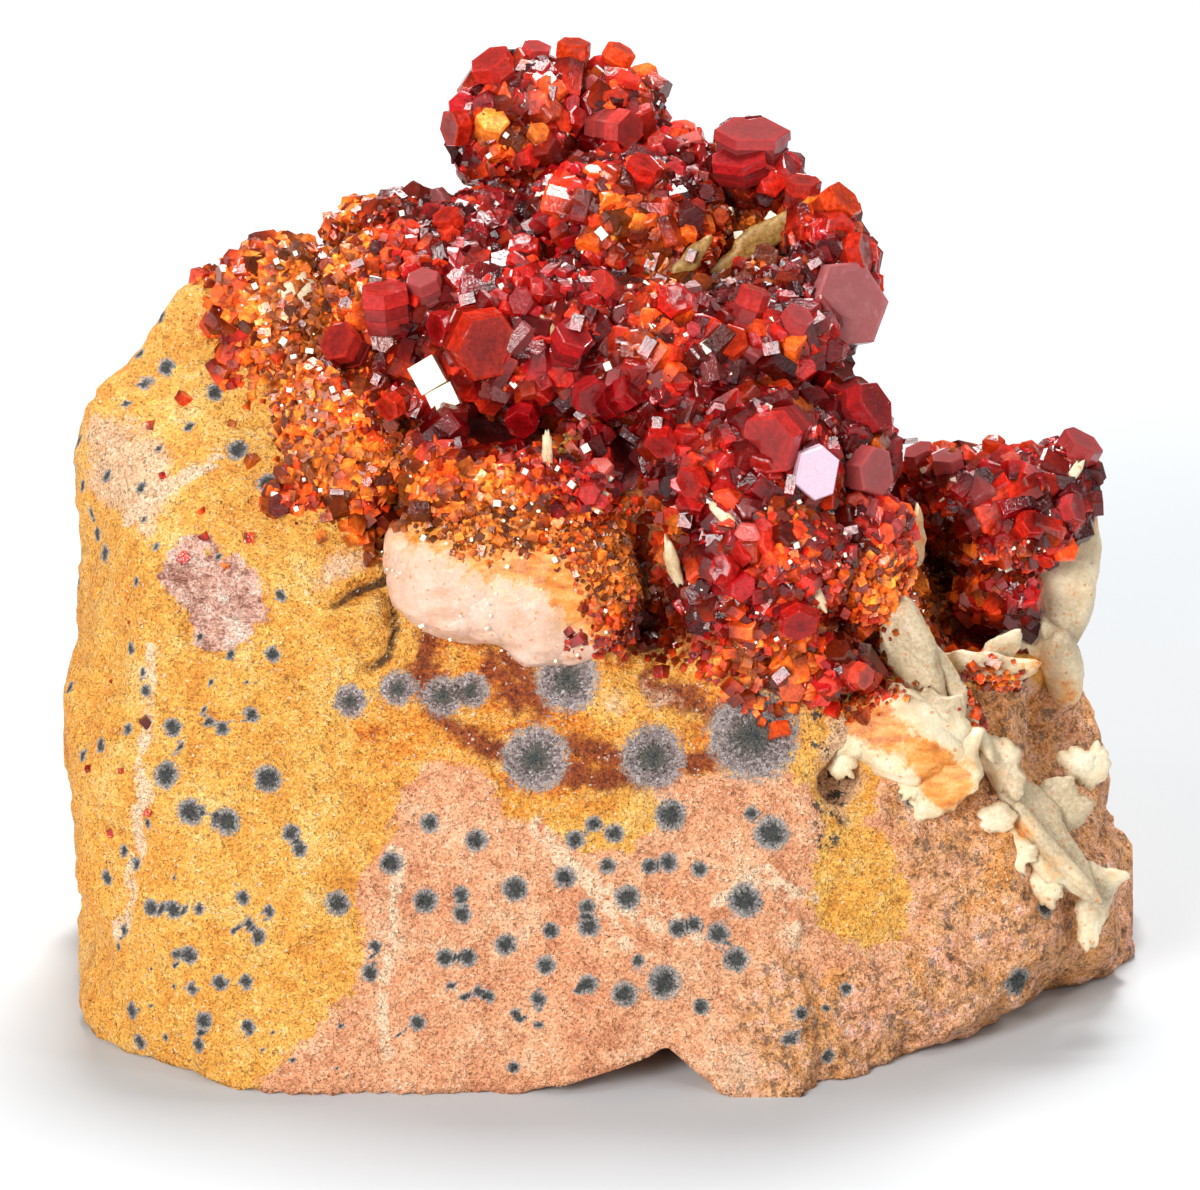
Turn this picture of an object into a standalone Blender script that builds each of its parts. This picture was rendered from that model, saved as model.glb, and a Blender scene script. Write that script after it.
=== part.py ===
"""Vanadinite on matrix: red hexagonal crystals and cream barite grown on a block of spotted rock.

The block stands on its flat base.  Lengths are in millimetres here and metres in the scene.
Most features are placed in a front frame, because the specimen has one good side: ACROSS to the
right, UP the sloping front and BACK away from someone who looks at it from 20 degrees above.
"""
import math
import random

import bmesh
import bpy
import numpy as np
from mathutils import Matrix, Vector
from mathutils.bvhtree import BVHTree

MM = 0.001

# Driving dimensions
FRONT_TILT = math.radians(20.0)   # the front frame looks down by this much
FRONT_CENTRE = Vector((0.0, 3.0, 28.3))
EYE_DISTANCE = 1000.0             # far parts draw together by this perspective
SLIVER = 0.02                     # edges shorter than this are closed up
GAP = 0.35                        # clearance between pieces that touch
CREASE = 18                       # higher is sharper between two sides of the block
ROCK_HEART = Vector((0.0, 3.0, 22.0))
ROCK_TRIANGLES = 0.36             # share of the fine block's triangles that are kept
WAVE_SEED = 5                     # the block's unevenness: plane waves of these lengths
WAVE_LENGTHS = (30.0, 7.0)
WAVE_COUNT = 16
WAVE_HEIGHT = 0.016               # height of a wave for each millimetre of its length
CRYSTAL_SEED = 29

# The block's broken sides: azimuth from the front towards the right, elevation, a point on it
ROCK_SIDES = [
    (-2, 20, (0, -26.1, 0)),          # spotted front
    (-50, 10, (-36.5, -17.3, 0)),     # left front corner
    (-86, 0, (-39.2, -5, 15)),        # left side
    (-66, 38, (-40.3, -1.4, 44.2)),   # left shoulder
    (-10, 52, (-20, -11, 39)),        # slope that carries the crystals
    (27, 20, (12, -26.5, 0)),         # right of the front
    (52, -35, (17, -27, 0)),          # undercut at the lower right
    (78, 54, (36, 3, 21.5)),          # fall to the right end
    (86, 8, (39.0, 8, 6)),            # right end
    (170, 6, (0, 27, 0)),             # back
    (-140, 12, (-30, 21, 0)),         # back left
    (140, 12, (30, 21, 0)),           # back right
    (180, 60, (0, 24, 45)),           # top of the back
    (0, -90, (0, 0, -2.5)),           # below the base, so that the base cut is crisp
]

# Swellings and hollows of the block in the front frame: across, up, back, reach, height
ROCK_SWELLS = [
    (-28.5, 25.5, -1.0, 6.0, 1.6),
    (-39.0, 11.0, -5.0, 5.0, 1.9),
    (38.0, -10.4, -1.0, 5.8, -5.6),
    (-39.0, -6.0, -6.0, 5.0, 1.2),
    (-39.5, -25.4, -2.6, 4.2, -3.4),
    (4.0, -36.5, -16.0, 5.2, -8.6),
    (12.8, -37.0, -18.5, 3.2, 6.0),
    (18.3, -13.6, -14.5, 1.9, -2.2),
    (-28.5, 0.0, -16.5, 4.0, -1.5),
    (-16.5, 5.0, -16.0, 3.0, -2.0),
    (-17.5, -2.5, -17.0, 2.8, 1.3),
    (-3.0, -10.0, -17.5, 8.0, 0.9),
    (-3.0, -19.0, -17.5, 5.0, -0.8),
    (31.5, -9.5, -5.0, 4.0, 2.0),
    (28.0, -3.0, -3.0, 3.5, -2.5),
    (38.5, -22.0, -1.0, 4.0, 1.4),
    (20.5, -21.5, -13.5, 5.0, 0.7),
    (30.0, -29.0, -7.0, 6.0, 1.8),
    (6.0, -27.0, -18.0, 7.0, 0.6),
    (38.8, -15.6, 12.0, 4.2, -2.4),
    (37.5, -28.0, 8.0, 4.6, 1.8),
    (30.0, -31.5, -5.0, 4.2, -1.6),
    (-30.0, -36.0, -13.5, 3.6, -1.6),
    (18.0, -35.5, -12.0, 3.6, 1.4),
]

# Barite lobes and blades: across, up, back, half length, half width, half thickness, spin, tilt.
# Spin turns the length anticlockwise from ACROSS and tilt tips the face away from the viewer.
BARITE_MOUND = [
    (-9.5, 1.4, -17.2, 6.4, 4.8, 2.8, 8, 12),
    (-4.2, 0.4, -17.6, 5.4, 5.6, 3.1, 15, 8),
    (-1.6, -2.8, -17.6, 3.2, 2.4, 1.9, 20, 5),
    (-13.0, 3.2, -16.4, 3.2, 3.0, 2.2, 0, 15),
]
BARITE_SPRAY = [
    (21.4, -10.8, -13.6, 6.2, 4.0, 2.3, -14, 5),
    (25.4, -12.6, -12.8, 3.6, 4.6, 2.1, -40, 0),
    (22.6, -5.0, -13.0, 4.8, 2.6, 1.6, -62, 30),
    (26.0, -7.0, -11.6, 5.6, 2.0, 1.1, -60, 55),
    (28.6, -5.0, -9.4, 3.8, 2.1, 1.0, -8, 55),
    (32.0, -17.4, -8.0, 8.0, 4.4, 1.5, -52, -32),
    (29.8, -12.4, -10.4, 2.9, 2.4, 1.1, -35, 10),
    (32.8, -18.0, -9.6, 5.6, 1.7, 0.9, -49, 62),
    (34.6, -15.4, -6.6, 3.0, 2.4, 1.0, 22, 15),
    (30.6, -18.8, -10.0, 2.9, 2.4, 1.3, -25, 5),
    (36.6, -21.4, -5.6, 3.2, 2.2, 1.0, -50, 35),
]
BARITE_CRESCENT = [
    (34.3, 1.4, 3.0, 3.0, 6.6, 1.3, -12, 0),
    (32.4, -4.4, 1.6, 2.8, 3.6, 1.3, 35, 12),
    (34.4, -5.4, 0.8, 1.7, 3.4, 1.1, 10, 20),
    (30.4, 1.6, 4.8, 5.4, 5.4, 1.4, 0, 24),
]

# Massive vanadinite under the crystal faces: across, up, back and the three half sizes
DRUSE_LUMPS = {
    "main_left": (-14.2, 20.4, -8.4, 8.2, 7.2, 5.0),
    "main_centre": (-5.0, 18.6, -11.6, 8.0, 6.0, 5.4),
    "main_right": (5.0, 16.6, -11.4, 8.2, 6.4, 6.2),
    "upper_left": (-9.5, 25.4, -4.2, 9.0, 4.2, 5.0),
    "upper_centre": (1.5, 26.6, -4.8, 8.0, 6.0, 6.0),
    "right_shoulder": (11.6, 18.4, -9.8, 6.4, 6.2, 6.6),
    "right_middle": (11.0, 9.8, -14.4, 7.8, 5.8, 5.2),
    "right_rim": (17.4, 11.0, -10.2, 3.9, 4.0, 5.4),
    "right_lobe": (16.2, 23.4, -5.0, 3.7, 5.6, 5.6),
    "left_top": (-15.4, 27.4, -3.5, 4.8, 3.0, 3.6),
    "crest": (-5.4, 34.2, 0.6, 5.4, 5.2, 4.8),
    "crest_right": (1.0, 35.0, 1.6, 3.4, 4.2, 4.4),
    "second_peak": (11.0, 30.4, -0.6, 3.0, 3.8, 4.4),
    "slot_back": (11.0, 25.4, -1.4, 5.4, 3.6, 3.4),
    "low_centre": (3.0, 9.8, -14.4, 4.8, 4.2, 3.6),
    "hanging_mass": (12.0, 1.6, -17.4, 6.0, 6.4, 3.8),
    "hanging_right": (19.2, 2.6, -12.8, 4.2, 5.4, 4.0),
    "lower_row": (15.2, -5.4, -16.8, 5.2, 1.9, 2.2),
    "left_crust": (-21.5, 16.6, -9.6, 5.6, 8.0, 2.2),
    "left_crust_low": (-17.6, 10.6, -14.4, 5.4, 4.8, 2.4),
    "left_crust_top": (-23.4, 23.0, -5.6, 4.8, 3.8, 2.4),
    "mound_top": (-6.6, 6.8, -17.8, 7.8, 3.2, 3.0),
    "mound_back": (-8.6, 10.8, -14.8, 6.2, 3.4, 2.2),
}
CLUSTER_LUMPS = {
    "cluster_middle": (30.0, 6.0, 0.2, 5.8, 4.4, 4.6),
    "cluster_right": (34.0, 7.6, 0.2, 2.3, 3.0, 3.0),
    "cluster_point": (29.6, 0.8, 0.4, 2.7, 3.8, 2.8),
    "cluster_left": (25.8, 7.4, 1.6, 2.5, 2.8, 3.0),
}

# Large crystals one by one: across, up, half width, half length, lean from the viewer,
# the way it leans (anticlockwise from ACROSS), and the turn about its own axis
DRUSE_CRYSTALS = [
    (-8.3, 18.7, 2.9, 2.6, 24, 200, 12),
    (-12.3, 15.6, 1.7, 2.2, 62, 75, 20),
    (-11.2, 14.0, 1.7, 2.0, 60, 80, 25),
    (-18.7, 18.5, 1.9, 1.8, 38, 150, 5),
    (-16.0, 21.3, 2.0, 1.9, 70, 95, 30),
    (-12.8, 22.6, 1.4, 1.6, 50, 110, 8),
    (-2.5, 18.5, 1.8, 1.8, 45, 60, 18),
    (-1.0, 15.4, 1.6, 1.8, 35, 300, 0),
    (1.6, 14.6, 1.6, 1.8, 55, 30, 24),
    (-7.0, 39.2, 2.2, 2.0, 48, 100, 15),
    (-2.0, 39.8, 1.6, 2.0, 70, 85, 10),
    (1.0, 39.4, 1.5, 1.8, 72, 60, 0),
    (-10.4, 34.8, 1.8, 1.9, 60, 190, 22),
    (1.0, 34.8, 2.0, 2.0, 40, 350, 14),
    (11.4, 33.6, 2.9, 1.5, 66, 88, 5),
    (12.4, 30.4, 2.2, 1.8, 60, 20, 11),
    (17.2, 28.4, 2.0, 1.8, 62, 40, 25),
    (15.0, 30.0, 1.6, 1.6, 65, 80, 3),
    (18.1, 21.6, 3.1, 1.7, 30, 8, 28),
    (19.0, 25.4, 1.7, 1.6, 66, 10, 14),
    (19.4, 13.4, 2.4, 2.0, 58, 25, 20),
    (14.0, 11.8, 2.5, 2.0, 34, 215, 6),
    (15.8, 9.2, 1.8, 2.0, 12, 330, 20),
    (19.2, 9.4, 1.8, 2.2, 44, 350, 26),
    (21.2, 10.4, 1.3, 1.6, 76, 82, 4),
    (10.0, 18.5, 1.4, 1.6, 20, 120, 9),
    (14.3, 19.8, 1.2, 1.6, 55, 60, 19),
    (11.0, 20.9, 1.3, 2.2, 78, 70, 0),
    (4.6, 12.0, 1.2, 1.6, 42, 260, 16),
    (5.2, 21.5, 1.6, 1.8, 34, 45, 7),
    (6.8, 25.0, 1.2, 1.4, 40, 100, 21),
    (0.5, 22.5, 1.5, 1.6, 52, 140, 2),
    (-5.5, 25.0, 1.5, 1.6, 50, 100, 17),
    (-11.0, 27.4, 1.4, 1.6, 58, 120, 12),
    (-16.5, 26.2, 1.3, 1.5, 60, 110, 28),
    (3.0, 31.0, 1.4, 1.6, 60, 70, 13),
    (-4.0, 30.0, 1.4, 1.6, 36, 280, 25),
    (6.0, 4.8, 1.2, 1.5, 50, 170, 5),
    (15.5, 4.2, 1.2, 1.5, 52, 20, 23),
    (14.6, -1.4, 1.5, 1.6, 40, 290, 11),
    (9.6, 1.6, 1.4, 1.5, 36, 160, 0),
    (13.4, -5.8, 1.2, 1.4, 30, 110, 27),
    (18.8, -5.8, 1.2, 1.5, 52, 340, 18),
    (7.4, 8.6, 1.5, 1.6, 42, 200, 8),
    (-15.0, 14.4, 1.3, 1.5, 48, 215, 24),
    (-5.6, 13.6, 1.5, 1.6, 46, 250, 3),
]
CLUSTER_CRYSTALS = [
    (35.0, 10.4, 1.7, 1.9, 66, 60, 8),
    (26.0, 9.0, 1.5, 1.7, 62, 100, 30),
    (24.0, 9.8, 1.4, 1.6, 64, 110, 14),
    (29.3, 10.8, 1.0, 1.2, 60, 90, 0),
    (31.0, 10.4, 1.2, 1.3, 62, 80, 22),
    (34.4, 5.8, 1.4, 1.6, 56, 10, 17),
    (31.4, 5.0, 1.4, 1.5, 44, 30, 9),
    (29.0, -1.8, 1.1, 1.6, 60, 260, 26),
    (27.6, 5.6, 1.2, 1.4, 50, 190, 12),
]
LUMP_CRAGS = (0.88, 1.10)         # share of a lump's half size that its corners reach
SMALL_LUMP = 4.5                  # a lump with half sizes under this has twenty faces, not eighty
SMALL_LUMP_SWELL = 1.1            # and its corners reach further, to keep its volume
DRUSE_FILL = 33                   # smaller crystals between the large ones
CLUSTER_FILL = 4
FILL_HALF_WIDTH = (1.3, 1.9)
FILL_SPACING = 2.6


def from_front(across, up, back):
    """A point of the front frame, in millimetres of the specimen's own frame."""
    spread = (EYE_DISTANCE + back) / EYE_DISTANCE
    rise = Vector((0, math.sin(FRONT_TILT), math.cos(FRONT_TILT)))
    away = Vector((0, math.cos(FRONT_TILT), -math.sin(FRONT_TILT)))
    return FRONT_CENTRE + Vector((across * spread, 0, 0)) + rise * up * spread + away * back


def front_axes():
    """The front frame's directions as a rotation: columns ACROSS, UP and towards the viewer."""
    return Matrix.Rotation(math.pi / 2 - FRONT_TILT, 3, "X")


def leaning(lean, way, turn):
    """Axes of a crystal whose long axis leans from the viewer by LEAN in the direction WAY."""
    return (front_axes() @ Matrix.Rotation(math.radians(way), 3, "Z")
            @ Matrix.Rotation(math.radians(lean), 3, "Y") @ Matrix.Rotation(math.radians(turn), 3, "Z"))


def placed(point, axes, sizes=(1, 1, 1)):
    """Location, rotation and size as one matrix."""
    return Matrix.Translation(point) @ axes.to_4x4() @ Matrix.Diagonal((*sizes, 1))


def clear_scene():
    for old in list(bpy.data.objects):
        bpy.data.objects.remove(old)


def new_collection(name):
    made = bpy.data.collections.new(name)
    bpy.context.scene.collection.children.link(made)
    return made


def principled(name, colour, roughness):
    made = bpy.data.materials.new(name)
    made.use_nodes = True
    shader = made.node_tree.nodes["Principled BSDF"]
    shader.inputs["Base Color"].default_value = (*colour, 1)
    shader.inputs["Roughness"].default_value = roughness
    shader.inputs["Metallic"].default_value = 0.0
    return made


def to_object(name, bm, collection, material=None):
    """A new object in metres from a millimetre bmesh."""
    mesh = bpy.data.meshes.new(name)
    bmesh.ops.recalc_face_normals(bm, faces=bm.faces)
    bm.transform(Matrix.Scale(MM, 4))
    bm.to_mesh(mesh)
    bm.free()
    made = bpy.data.objects.new(name, mesh)
    collection.objects.link(made)
    if material:
        mesh.materials.append(material)
    return made


def side_normal(azimuth, elevation):
    a, e = math.radians(azimuth), math.radians(elevation)
    return Vector((math.sin(a) * math.cos(e), -math.cos(a) * math.cos(e), math.sin(e)))


def rock_reach(ways):
    """Distance from the heart of the block to its surface along each unit vector.

    Each broken side alone would be met at height / cosine.  A high power mean of all the sides
    is the nearest of them, with a small rounding where two meet.
    """
    total = np.zeros(len(ways))
    for azimuth, elevation, point in ROCK_SIDES:
        normal = side_normal(azimuth, elevation)
        height = normal.dot(Vector(point) - ROCK_HEART)
        total += (np.maximum(ways @ np.array(normal), 1e-9) / height) ** CREASE
    return total ** (-1 / CREASE)


def unevenness(spots):
    """Plane waves of many directions and lengths, whose sum is an irregular broken surface."""
    rng = np.random.default_rng(WAVE_SEED)
    total = np.zeros(len(spots))
    for length in np.geomspace(*WAVE_LENGTHS, WAVE_COUNT):
        way = rng.normal(size=3)
        way /= np.linalg.norm(way)
        phase = rng.uniform(0, 2 * math.pi)
        total += WAVE_HEIGHT * length * np.sin(2 * math.pi * (spots @ way) / length + phase)
    return total


def rock_points(ways):
    """Points of the block's surface: the sides, then waves and the named swells."""
    reach = rock_reach(ways)
    spots = np.array(ROCK_HEART) + ways * reach[:, None]
    reach += unevenness(spots)
    for across, up, back, size, height in ROCK_SWELLS:
        middle = np.array(from_front(across, up, back))
        far = ((spots - middle) ** 2).sum(axis=1)
        reach += height * np.exp(-far / size ** 2)
    return np.array(ROCK_HEART) + ways * reach[:, None]


def build_rock(collection, material):
    """A ball pushed out to the block's surface, cut flat at the base, then thinned."""
    bm = bmesh.new()
    bmesh.ops.create_icosphere(bm, subdivisions=5, radius=1.0)
    ways = np.array([v.co for v in bm.verts])
    for vert, spot in zip(bm.verts, rock_points(ways)):
        vert.co = spot
    full = to_object("rock_full", bm, collection)
    thin = full.modifiers.new("thin", "DECIMATE")
    thin.ratio = ROCK_TRIANGLES
    bm = bmesh.new()
    bm.from_mesh(evaluated_mesh(full))
    bpy.data.objects.remove(full)
    bm.transform(Matrix.Scale(1 / MM, 4))
    cut = bmesh.ops.bisect_plane(bm, geom=bm.verts[:] + bm.edges[:] + bm.faces[:], dist=1e-4,
                                 plane_co=(0, 0, 0), plane_no=(0, 0, 1), clear_inner=True)
    rim = [e for e in cut["geom_cut"] if isinstance(e, bmesh.types.BMEdge)]
    bmesh.ops.holes_fill(bm, edges=rim, sides=0)
    bmesh.ops.dissolve_degenerate(bm, dist=0.02, edges=bm.edges)
    return to_object("matrix_rock", bm, collection, material)


def evaluated_mesh(piece):
    graph = bpy.context.evaluated_depsgraph_get()
    return bpy.data.meshes.new_from_object(piece.evaluated_get(graph))


def add_blade(bm, across, up, back, length, width, thick, spin, tilt):
    """One rounded barite blade, a flattened ball of eight sides."""
    axes = (front_axes() @ Matrix.Rotation(math.radians(spin), 3, "Z")
            @ Matrix.Rotation(math.radians(tilt), 3, "X"))
    where = placed(from_front(across, up, back), axes, (length, width, thick))
    bmesh.ops.create_uvsphere(bm, u_segments=8, v_segments=4, radius=1.0, matrix=where)


def add_lump(bm, across, up, back, wide, high, deep):
    """A craggy lump: a ball whose corners are moved in and out, stretched to its three sizes."""
    rng = random.Random(round(100 * across))
    small = max(wide, high) < SMALL_LUMP
    ball = bmesh.ops.create_icosphere(bm, subdivisions=1 if small else 2, radius=1.0)
    for vert in ball["verts"]:
        vert.co *= rng.uniform(*LUMP_CRAGS) * (SMALL_LUMP_SWELL if small else 1)
    where = placed(from_front(across, up, back), front_axes(), (wide, high, deep))
    bmesh.ops.transform(bm, matrix=where, verts=ball["verts"])


def add_crystal(bm, point, axes, half_width, half_length):
    """A stubby six sided prism with flat ends."""
    bmesh.ops.create_cone(bm, cap_ends=True, segments=6, radius1=half_width, radius2=half_width,
                          depth=2 * half_length, matrix=placed(point, axes))


def front_spot(tree, across, up):
    """The first surface that the viewer's line through this place meets, or passes nearest to."""
    start, end = from_front(across, up, -80), from_front(across, up, 60)
    hit = tree.ray_cast(start, (end - start).normalized())[0]
    if hit:
        return hit
    along_line = [start.lerp(end, step / 200) for step in range(201)]
    return min((tree.find_nearest(point) for point in along_line), key=lambda near: near[3])[0]


def add_large_crystals(bm, tree, crystals):
    """Each large crystal stands half buried where the viewer sees the lumps under it."""
    taken = []
    towards = front_axes().col[2]
    for across, up, half_width, half_length, lean, way, turn in crystals:
        point = front_spot(tree, across, up)
        add_crystal(bm, point + towards * 0.2 * half_length, leaning(lean, way, turn),
                    half_width, half_length)
        taken.append((point, half_width))
    return taken


def add_fill_crystals(bm, lumps, avoid, taken, count, rng):
    """Smaller crystals that stand out from the lumps on every side, spaced apart."""
    shapes = [placed(from_front(*lump[:3]), front_axes(), lump[3:]) for lump in lumps]
    insides = [shape.inverted() for shape in shapes]
    weights = [lump[3] * lump[4] for lump in lumps]
    tries = 0
    while count > 0 and tries < 20000:
        tries += 1
        shape = rng.choices(shapes, weights)[0]
        way = Vector([rng.gauss(0, 1) for _ in range(3)]).normalized()
        point = shape @ way
        if any((inside @ point).length < 0.97 for inside in insides):
            continue
        nearest, rock_normal = avoid.find_nearest(point)[:2]
        if (point - nearest).dot(rock_normal) < 0.9:
            continue
        half_width = rng.uniform(*FILL_HALF_WIDTH)
        if any((point - other).length < FILL_SPACING + 0.5 * size for other, size in taken):
            continue
        normal = (shape.to_3x3().inverted().transposed() @ way).normalized()
        jitter = Vector([rng.gauss(0, 0.35) for _ in range(3)])
        axes = (normal + jitter).to_track_quat("Z", "Y").to_matrix()
        axes = axes @ Matrix.Rotation(rng.uniform(0, math.pi / 3), 3, "Z")
        add_crystal(bm, point, axes, half_width, half_width * rng.uniform(0.95, 1.3))
        taken.append((point, half_width))
        count -= 1


def fuse(name, bm, cutters, collection, material):
    """Join every overlapping shell into one solid and keep it clear of what it grows on."""
    shells = to_object(name + "_shells", bm, collection)
    empty = bpy.data.objects.new(name + "_joined", bpy.data.meshes.new(name + "_joined"))
    collection.objects.link(empty)
    join = empty.modifiers.new("join", "BOOLEAN")
    join.operation = "UNION"
    join.solver = "EXACT"
    join.use_self = True
    join.object = shells
    for cutter in cutters:
        trim = empty.modifiers.new("trim " + cutter.name, "BOOLEAN")
        trim.operation = "DIFFERENCE"
        trim.solver = "MANIFOLD"
        trim.object = cutter
    bm = bmesh.new()
    bm.from_mesh(evaluated_mesh(empty))
    bpy.data.objects.remove(empty)
    bpy.data.objects.remove(shells)
    bm.transform(Matrix.Scale(1 / MM, 4))
    keep_largest_body(bm)
    bmesh.ops.dissolve_degenerate(bm, dist=SLIVER, edges=bm.edges)
    return to_object(name, bm, collection, material)


def keep_largest_body(bm):
    """Trimming can leave a crumb on its own; only the body with the most faces stays."""
    unseen = set(bm.faces)
    bodies = []
    while unseen:
        body, edge_of = [], [unseen.pop()]
        while edge_of:
            face = edge_of.pop()
            body.append(face)
            for edge in face.edges:
                for other in edge.link_faces:
                    if other in unseen:
                        unseen.remove(other)
                        edge_of.append(other)
        bodies.append(body)
    bodies.sort(key=len)
    crumbs = [face for body in bodies[:-1] for face in body]
    bmesh.ops.delete(bm, geom=crumbs, context="FACES")


def cutter_of(piece, collection):
    """A copy of a finished piece, swollen by the gap, that trims what grows on it."""
    made = bpy.data.objects.new(piece.name + "_cutter", piece.data.copy())
    collection.objects.link(made)
    swell = made.modifiers.new("swell", "DISPLACE")
    swell.strength = GAP * MM
    swell.mid_level = 0.0
    made.hide_render = True
    made.display_type = "WIRE"
    return made


def lump_tree(lumps):
    bm = bmesh.new()
    for lump in lumps:
        add_lump(bm, *lump)
    tree = BVHTree.FromBMesh(bm)
    bm.free()
    return tree


def rock_tree(piece):
    bm = bmesh.new()
    bm.from_mesh(piece.data)
    bm.transform(Matrix.Scale(1 / MM, 4))
    tree = BVHTree.FromBMesh(bm)
    bm.free()
    return tree


def build_barite(name, blades, cutters, collection, material):
    bm = bmesh.new()
    for blade in blades:
        add_blade(bm, *blade)
    return fuse(name, bm, cutters, collection, material)


def build_vanadinite(name, lumps, crystals, fill, tree, cutters, collection, material):
    bm = bmesh.new()
    rng = random.Random(CRYSTAL_SEED)
    for lump in lumps:
        add_lump(bm, *lump)
    taken = add_large_crystals(bm, lump_tree(lumps), crystals)
    add_fill_crystals(bm, lumps, tree, taken, fill, rng)
    return fuse(name, bm, cutters, collection, material)


def main():
    clear_scene()
    parts = new_collection("vanadinite on matrix")
    cutters = new_collection("cutters")
    stone = principled("spotted rock", (0.62, 0.38, 0.20), 0.9)
    cream = principled("cream barite", (0.80, 0.70, 0.52), 0.45)
    grey_cream = principled("grey barite", (0.66, 0.60, 0.48), 0.5)
    pale = principled("pale barite", (0.78, 0.68, 0.54), 0.45)
    red = principled("red vanadinite", (0.55, 0.03, 0.02), 0.15)
    dark_red = principled("dark vanadinite", (0.45, 0.03, 0.02), 0.18)

    rock = build_rock(parts, stone)
    tree = rock_tree(rock)
    rock_cut = cutter_of(rock, cutters)
    mound = build_barite("barite_mound", BARITE_MOUND, [rock_cut], parts, cream)
    spray = build_barite("barite_spray", BARITE_SPRAY, [rock_cut], parts, grey_cream)
    crescent = build_barite("barite_crescent", BARITE_CRESCENT, [rock_cut], parts, pale)
    barite_cuts = [cutter_of(piece, cutters) for piece in (mound, spray, crescent)]
    build_vanadinite("vanadinite_druse", list(DRUSE_LUMPS.values()), DRUSE_CRYSTALS,
                     DRUSE_FILL, tree, [rock_cut] + barite_cuts, parts, red)
    build_vanadinite("vanadinite_cluster", list(CLUSTER_LUMPS.values()), CLUSTER_CRYSTALS,
                     CLUSTER_FILL, tree, [rock_cut] + barite_cuts, parts, dark_red)


main()
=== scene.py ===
# %% [markdown]
# # Vanadinite on matrix
# A fist of ochre and pink rock carries a crust of red six sided vanadinite crystals, with cream
# barite blades between them.  Rock, barite and vanadinite grew as separate minerals, so each is a
# piece of its own here, with its own finish.  Every shape below is a formula worked out on whole
# arrays of points, which is quick and gives the same specimen each time.

# %% Load the frame
import math

import bpy
import numpy as np
from mathutils import Matrix, Vector


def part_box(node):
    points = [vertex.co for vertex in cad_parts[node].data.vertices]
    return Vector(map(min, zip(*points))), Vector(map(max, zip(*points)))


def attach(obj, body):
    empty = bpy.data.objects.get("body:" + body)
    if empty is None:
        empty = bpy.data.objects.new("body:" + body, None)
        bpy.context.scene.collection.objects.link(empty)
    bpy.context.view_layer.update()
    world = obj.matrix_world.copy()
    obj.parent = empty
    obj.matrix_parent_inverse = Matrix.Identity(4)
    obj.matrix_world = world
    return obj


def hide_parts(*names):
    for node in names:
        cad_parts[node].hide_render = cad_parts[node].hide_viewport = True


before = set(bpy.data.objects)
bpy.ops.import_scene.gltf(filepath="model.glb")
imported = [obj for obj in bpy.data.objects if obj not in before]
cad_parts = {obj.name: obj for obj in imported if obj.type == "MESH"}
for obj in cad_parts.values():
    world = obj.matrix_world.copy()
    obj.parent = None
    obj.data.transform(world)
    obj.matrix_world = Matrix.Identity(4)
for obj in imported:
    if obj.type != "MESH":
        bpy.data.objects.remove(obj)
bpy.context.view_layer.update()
MM = 0.001
print("nodes:", ", ".join(sorted(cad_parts)))

# %% [markdown]
# ## The front frame
# The specimen has one good side, seen from 20 degrees above.  Places on it are easier to name as
# millimetres ACROSS to the right, UP the sloping front and BACK away from the viewer.  One
# function turns them into the specimen's own frame and another turns them back.

# %% Front frame
FRONT_TILT = math.radians(20.0)
FRONT_CENTRE = np.array([0.0, 3.0, 28.3])
EYE_DISTANCE = 1000.0
ACROSS = np.array([1.0, 0.0, 0.0])
RISE = np.array([0.0, math.sin(FRONT_TILT), math.cos(FRONT_TILT)])
AWAY = np.array([0.0, math.cos(FRONT_TILT), -math.sin(FRONT_TILT)])


def way_of(azimuth, elevation):
    """Unit vector: the azimuth turns it from the front to the right, the elevation lifts it.

    It is (sin a cos e, -cos a cos e, sin e).
    """
    a, e = math.radians(azimuth), math.radians(elevation)
    return np.array([math.sin(a) * math.cos(e), -math.cos(a) * math.cos(e), math.sin(e)])


def from_front(across, up, back):
    """Points of the front frame in the specimen's own frame.

    Places further back draw together in proportion to their distance from the eye.
    """
    across, up, back = np.broadcast_arrays(across, up, back)
    spread = (EYE_DISTANCE + back) / EYE_DISTANCE
    return (FRONT_CENTRE + (across * spread)[..., None] * ACROSS
            + (up * spread)[..., None] * RISE + back[..., None] * AWAY)


def to_front(points):
    """Across, up and back of points: the same formula solved the other way."""
    offset = points - FRONT_CENTRE
    back = offset @ AWAY
    spread = (EYE_DISTANCE + back) / EYE_DISTANCE
    return offset @ ACROSS / spread, offset @ RISE / spread, back


print("front centre back to front:", *(float(round(x, 6)) for x in to_front(FRONT_CENTRE)))

# %% [markdown]
# ## Camera
# A long lens from a metre away flattens the view, as in catalogue pictures of minerals.

# %% Camera
VIEW_WIDTH = 89.2
SENSOR = 36.0
camera_data = bpy.data.cameras.new("camera")
camera_data.sensor_width = SENSOR
camera_data.lens = SENSOR * EYE_DISTANCE / VIEW_WIDTH
camera_data.clip_end = 20.0
camera = bpy.data.objects.new("camera", camera_data)
bpy.context.scene.collection.objects.link(camera)
camera.location = (FRONT_CENTRE - AWAY * EYE_DISTANCE) * MM
camera.rotation_euler = (math.pi / 2 - FRONT_TILT, 0.0, 0.0)
bpy.context.scene.camera = camera
print(f"lens {camera_data.lens:.0f} mm at {camera.location.length:.2f} m")

# %% [markdown]
# ## Light
# A soft light at the upper left shows the relief, one from above and behind draws the shadow
# towards the viewer, and a few small bright ones stand round about.  Polished crystal faces act
# as mirrors, so the small lights make single faces flash white.  A faint even glow fills the rest.

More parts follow.
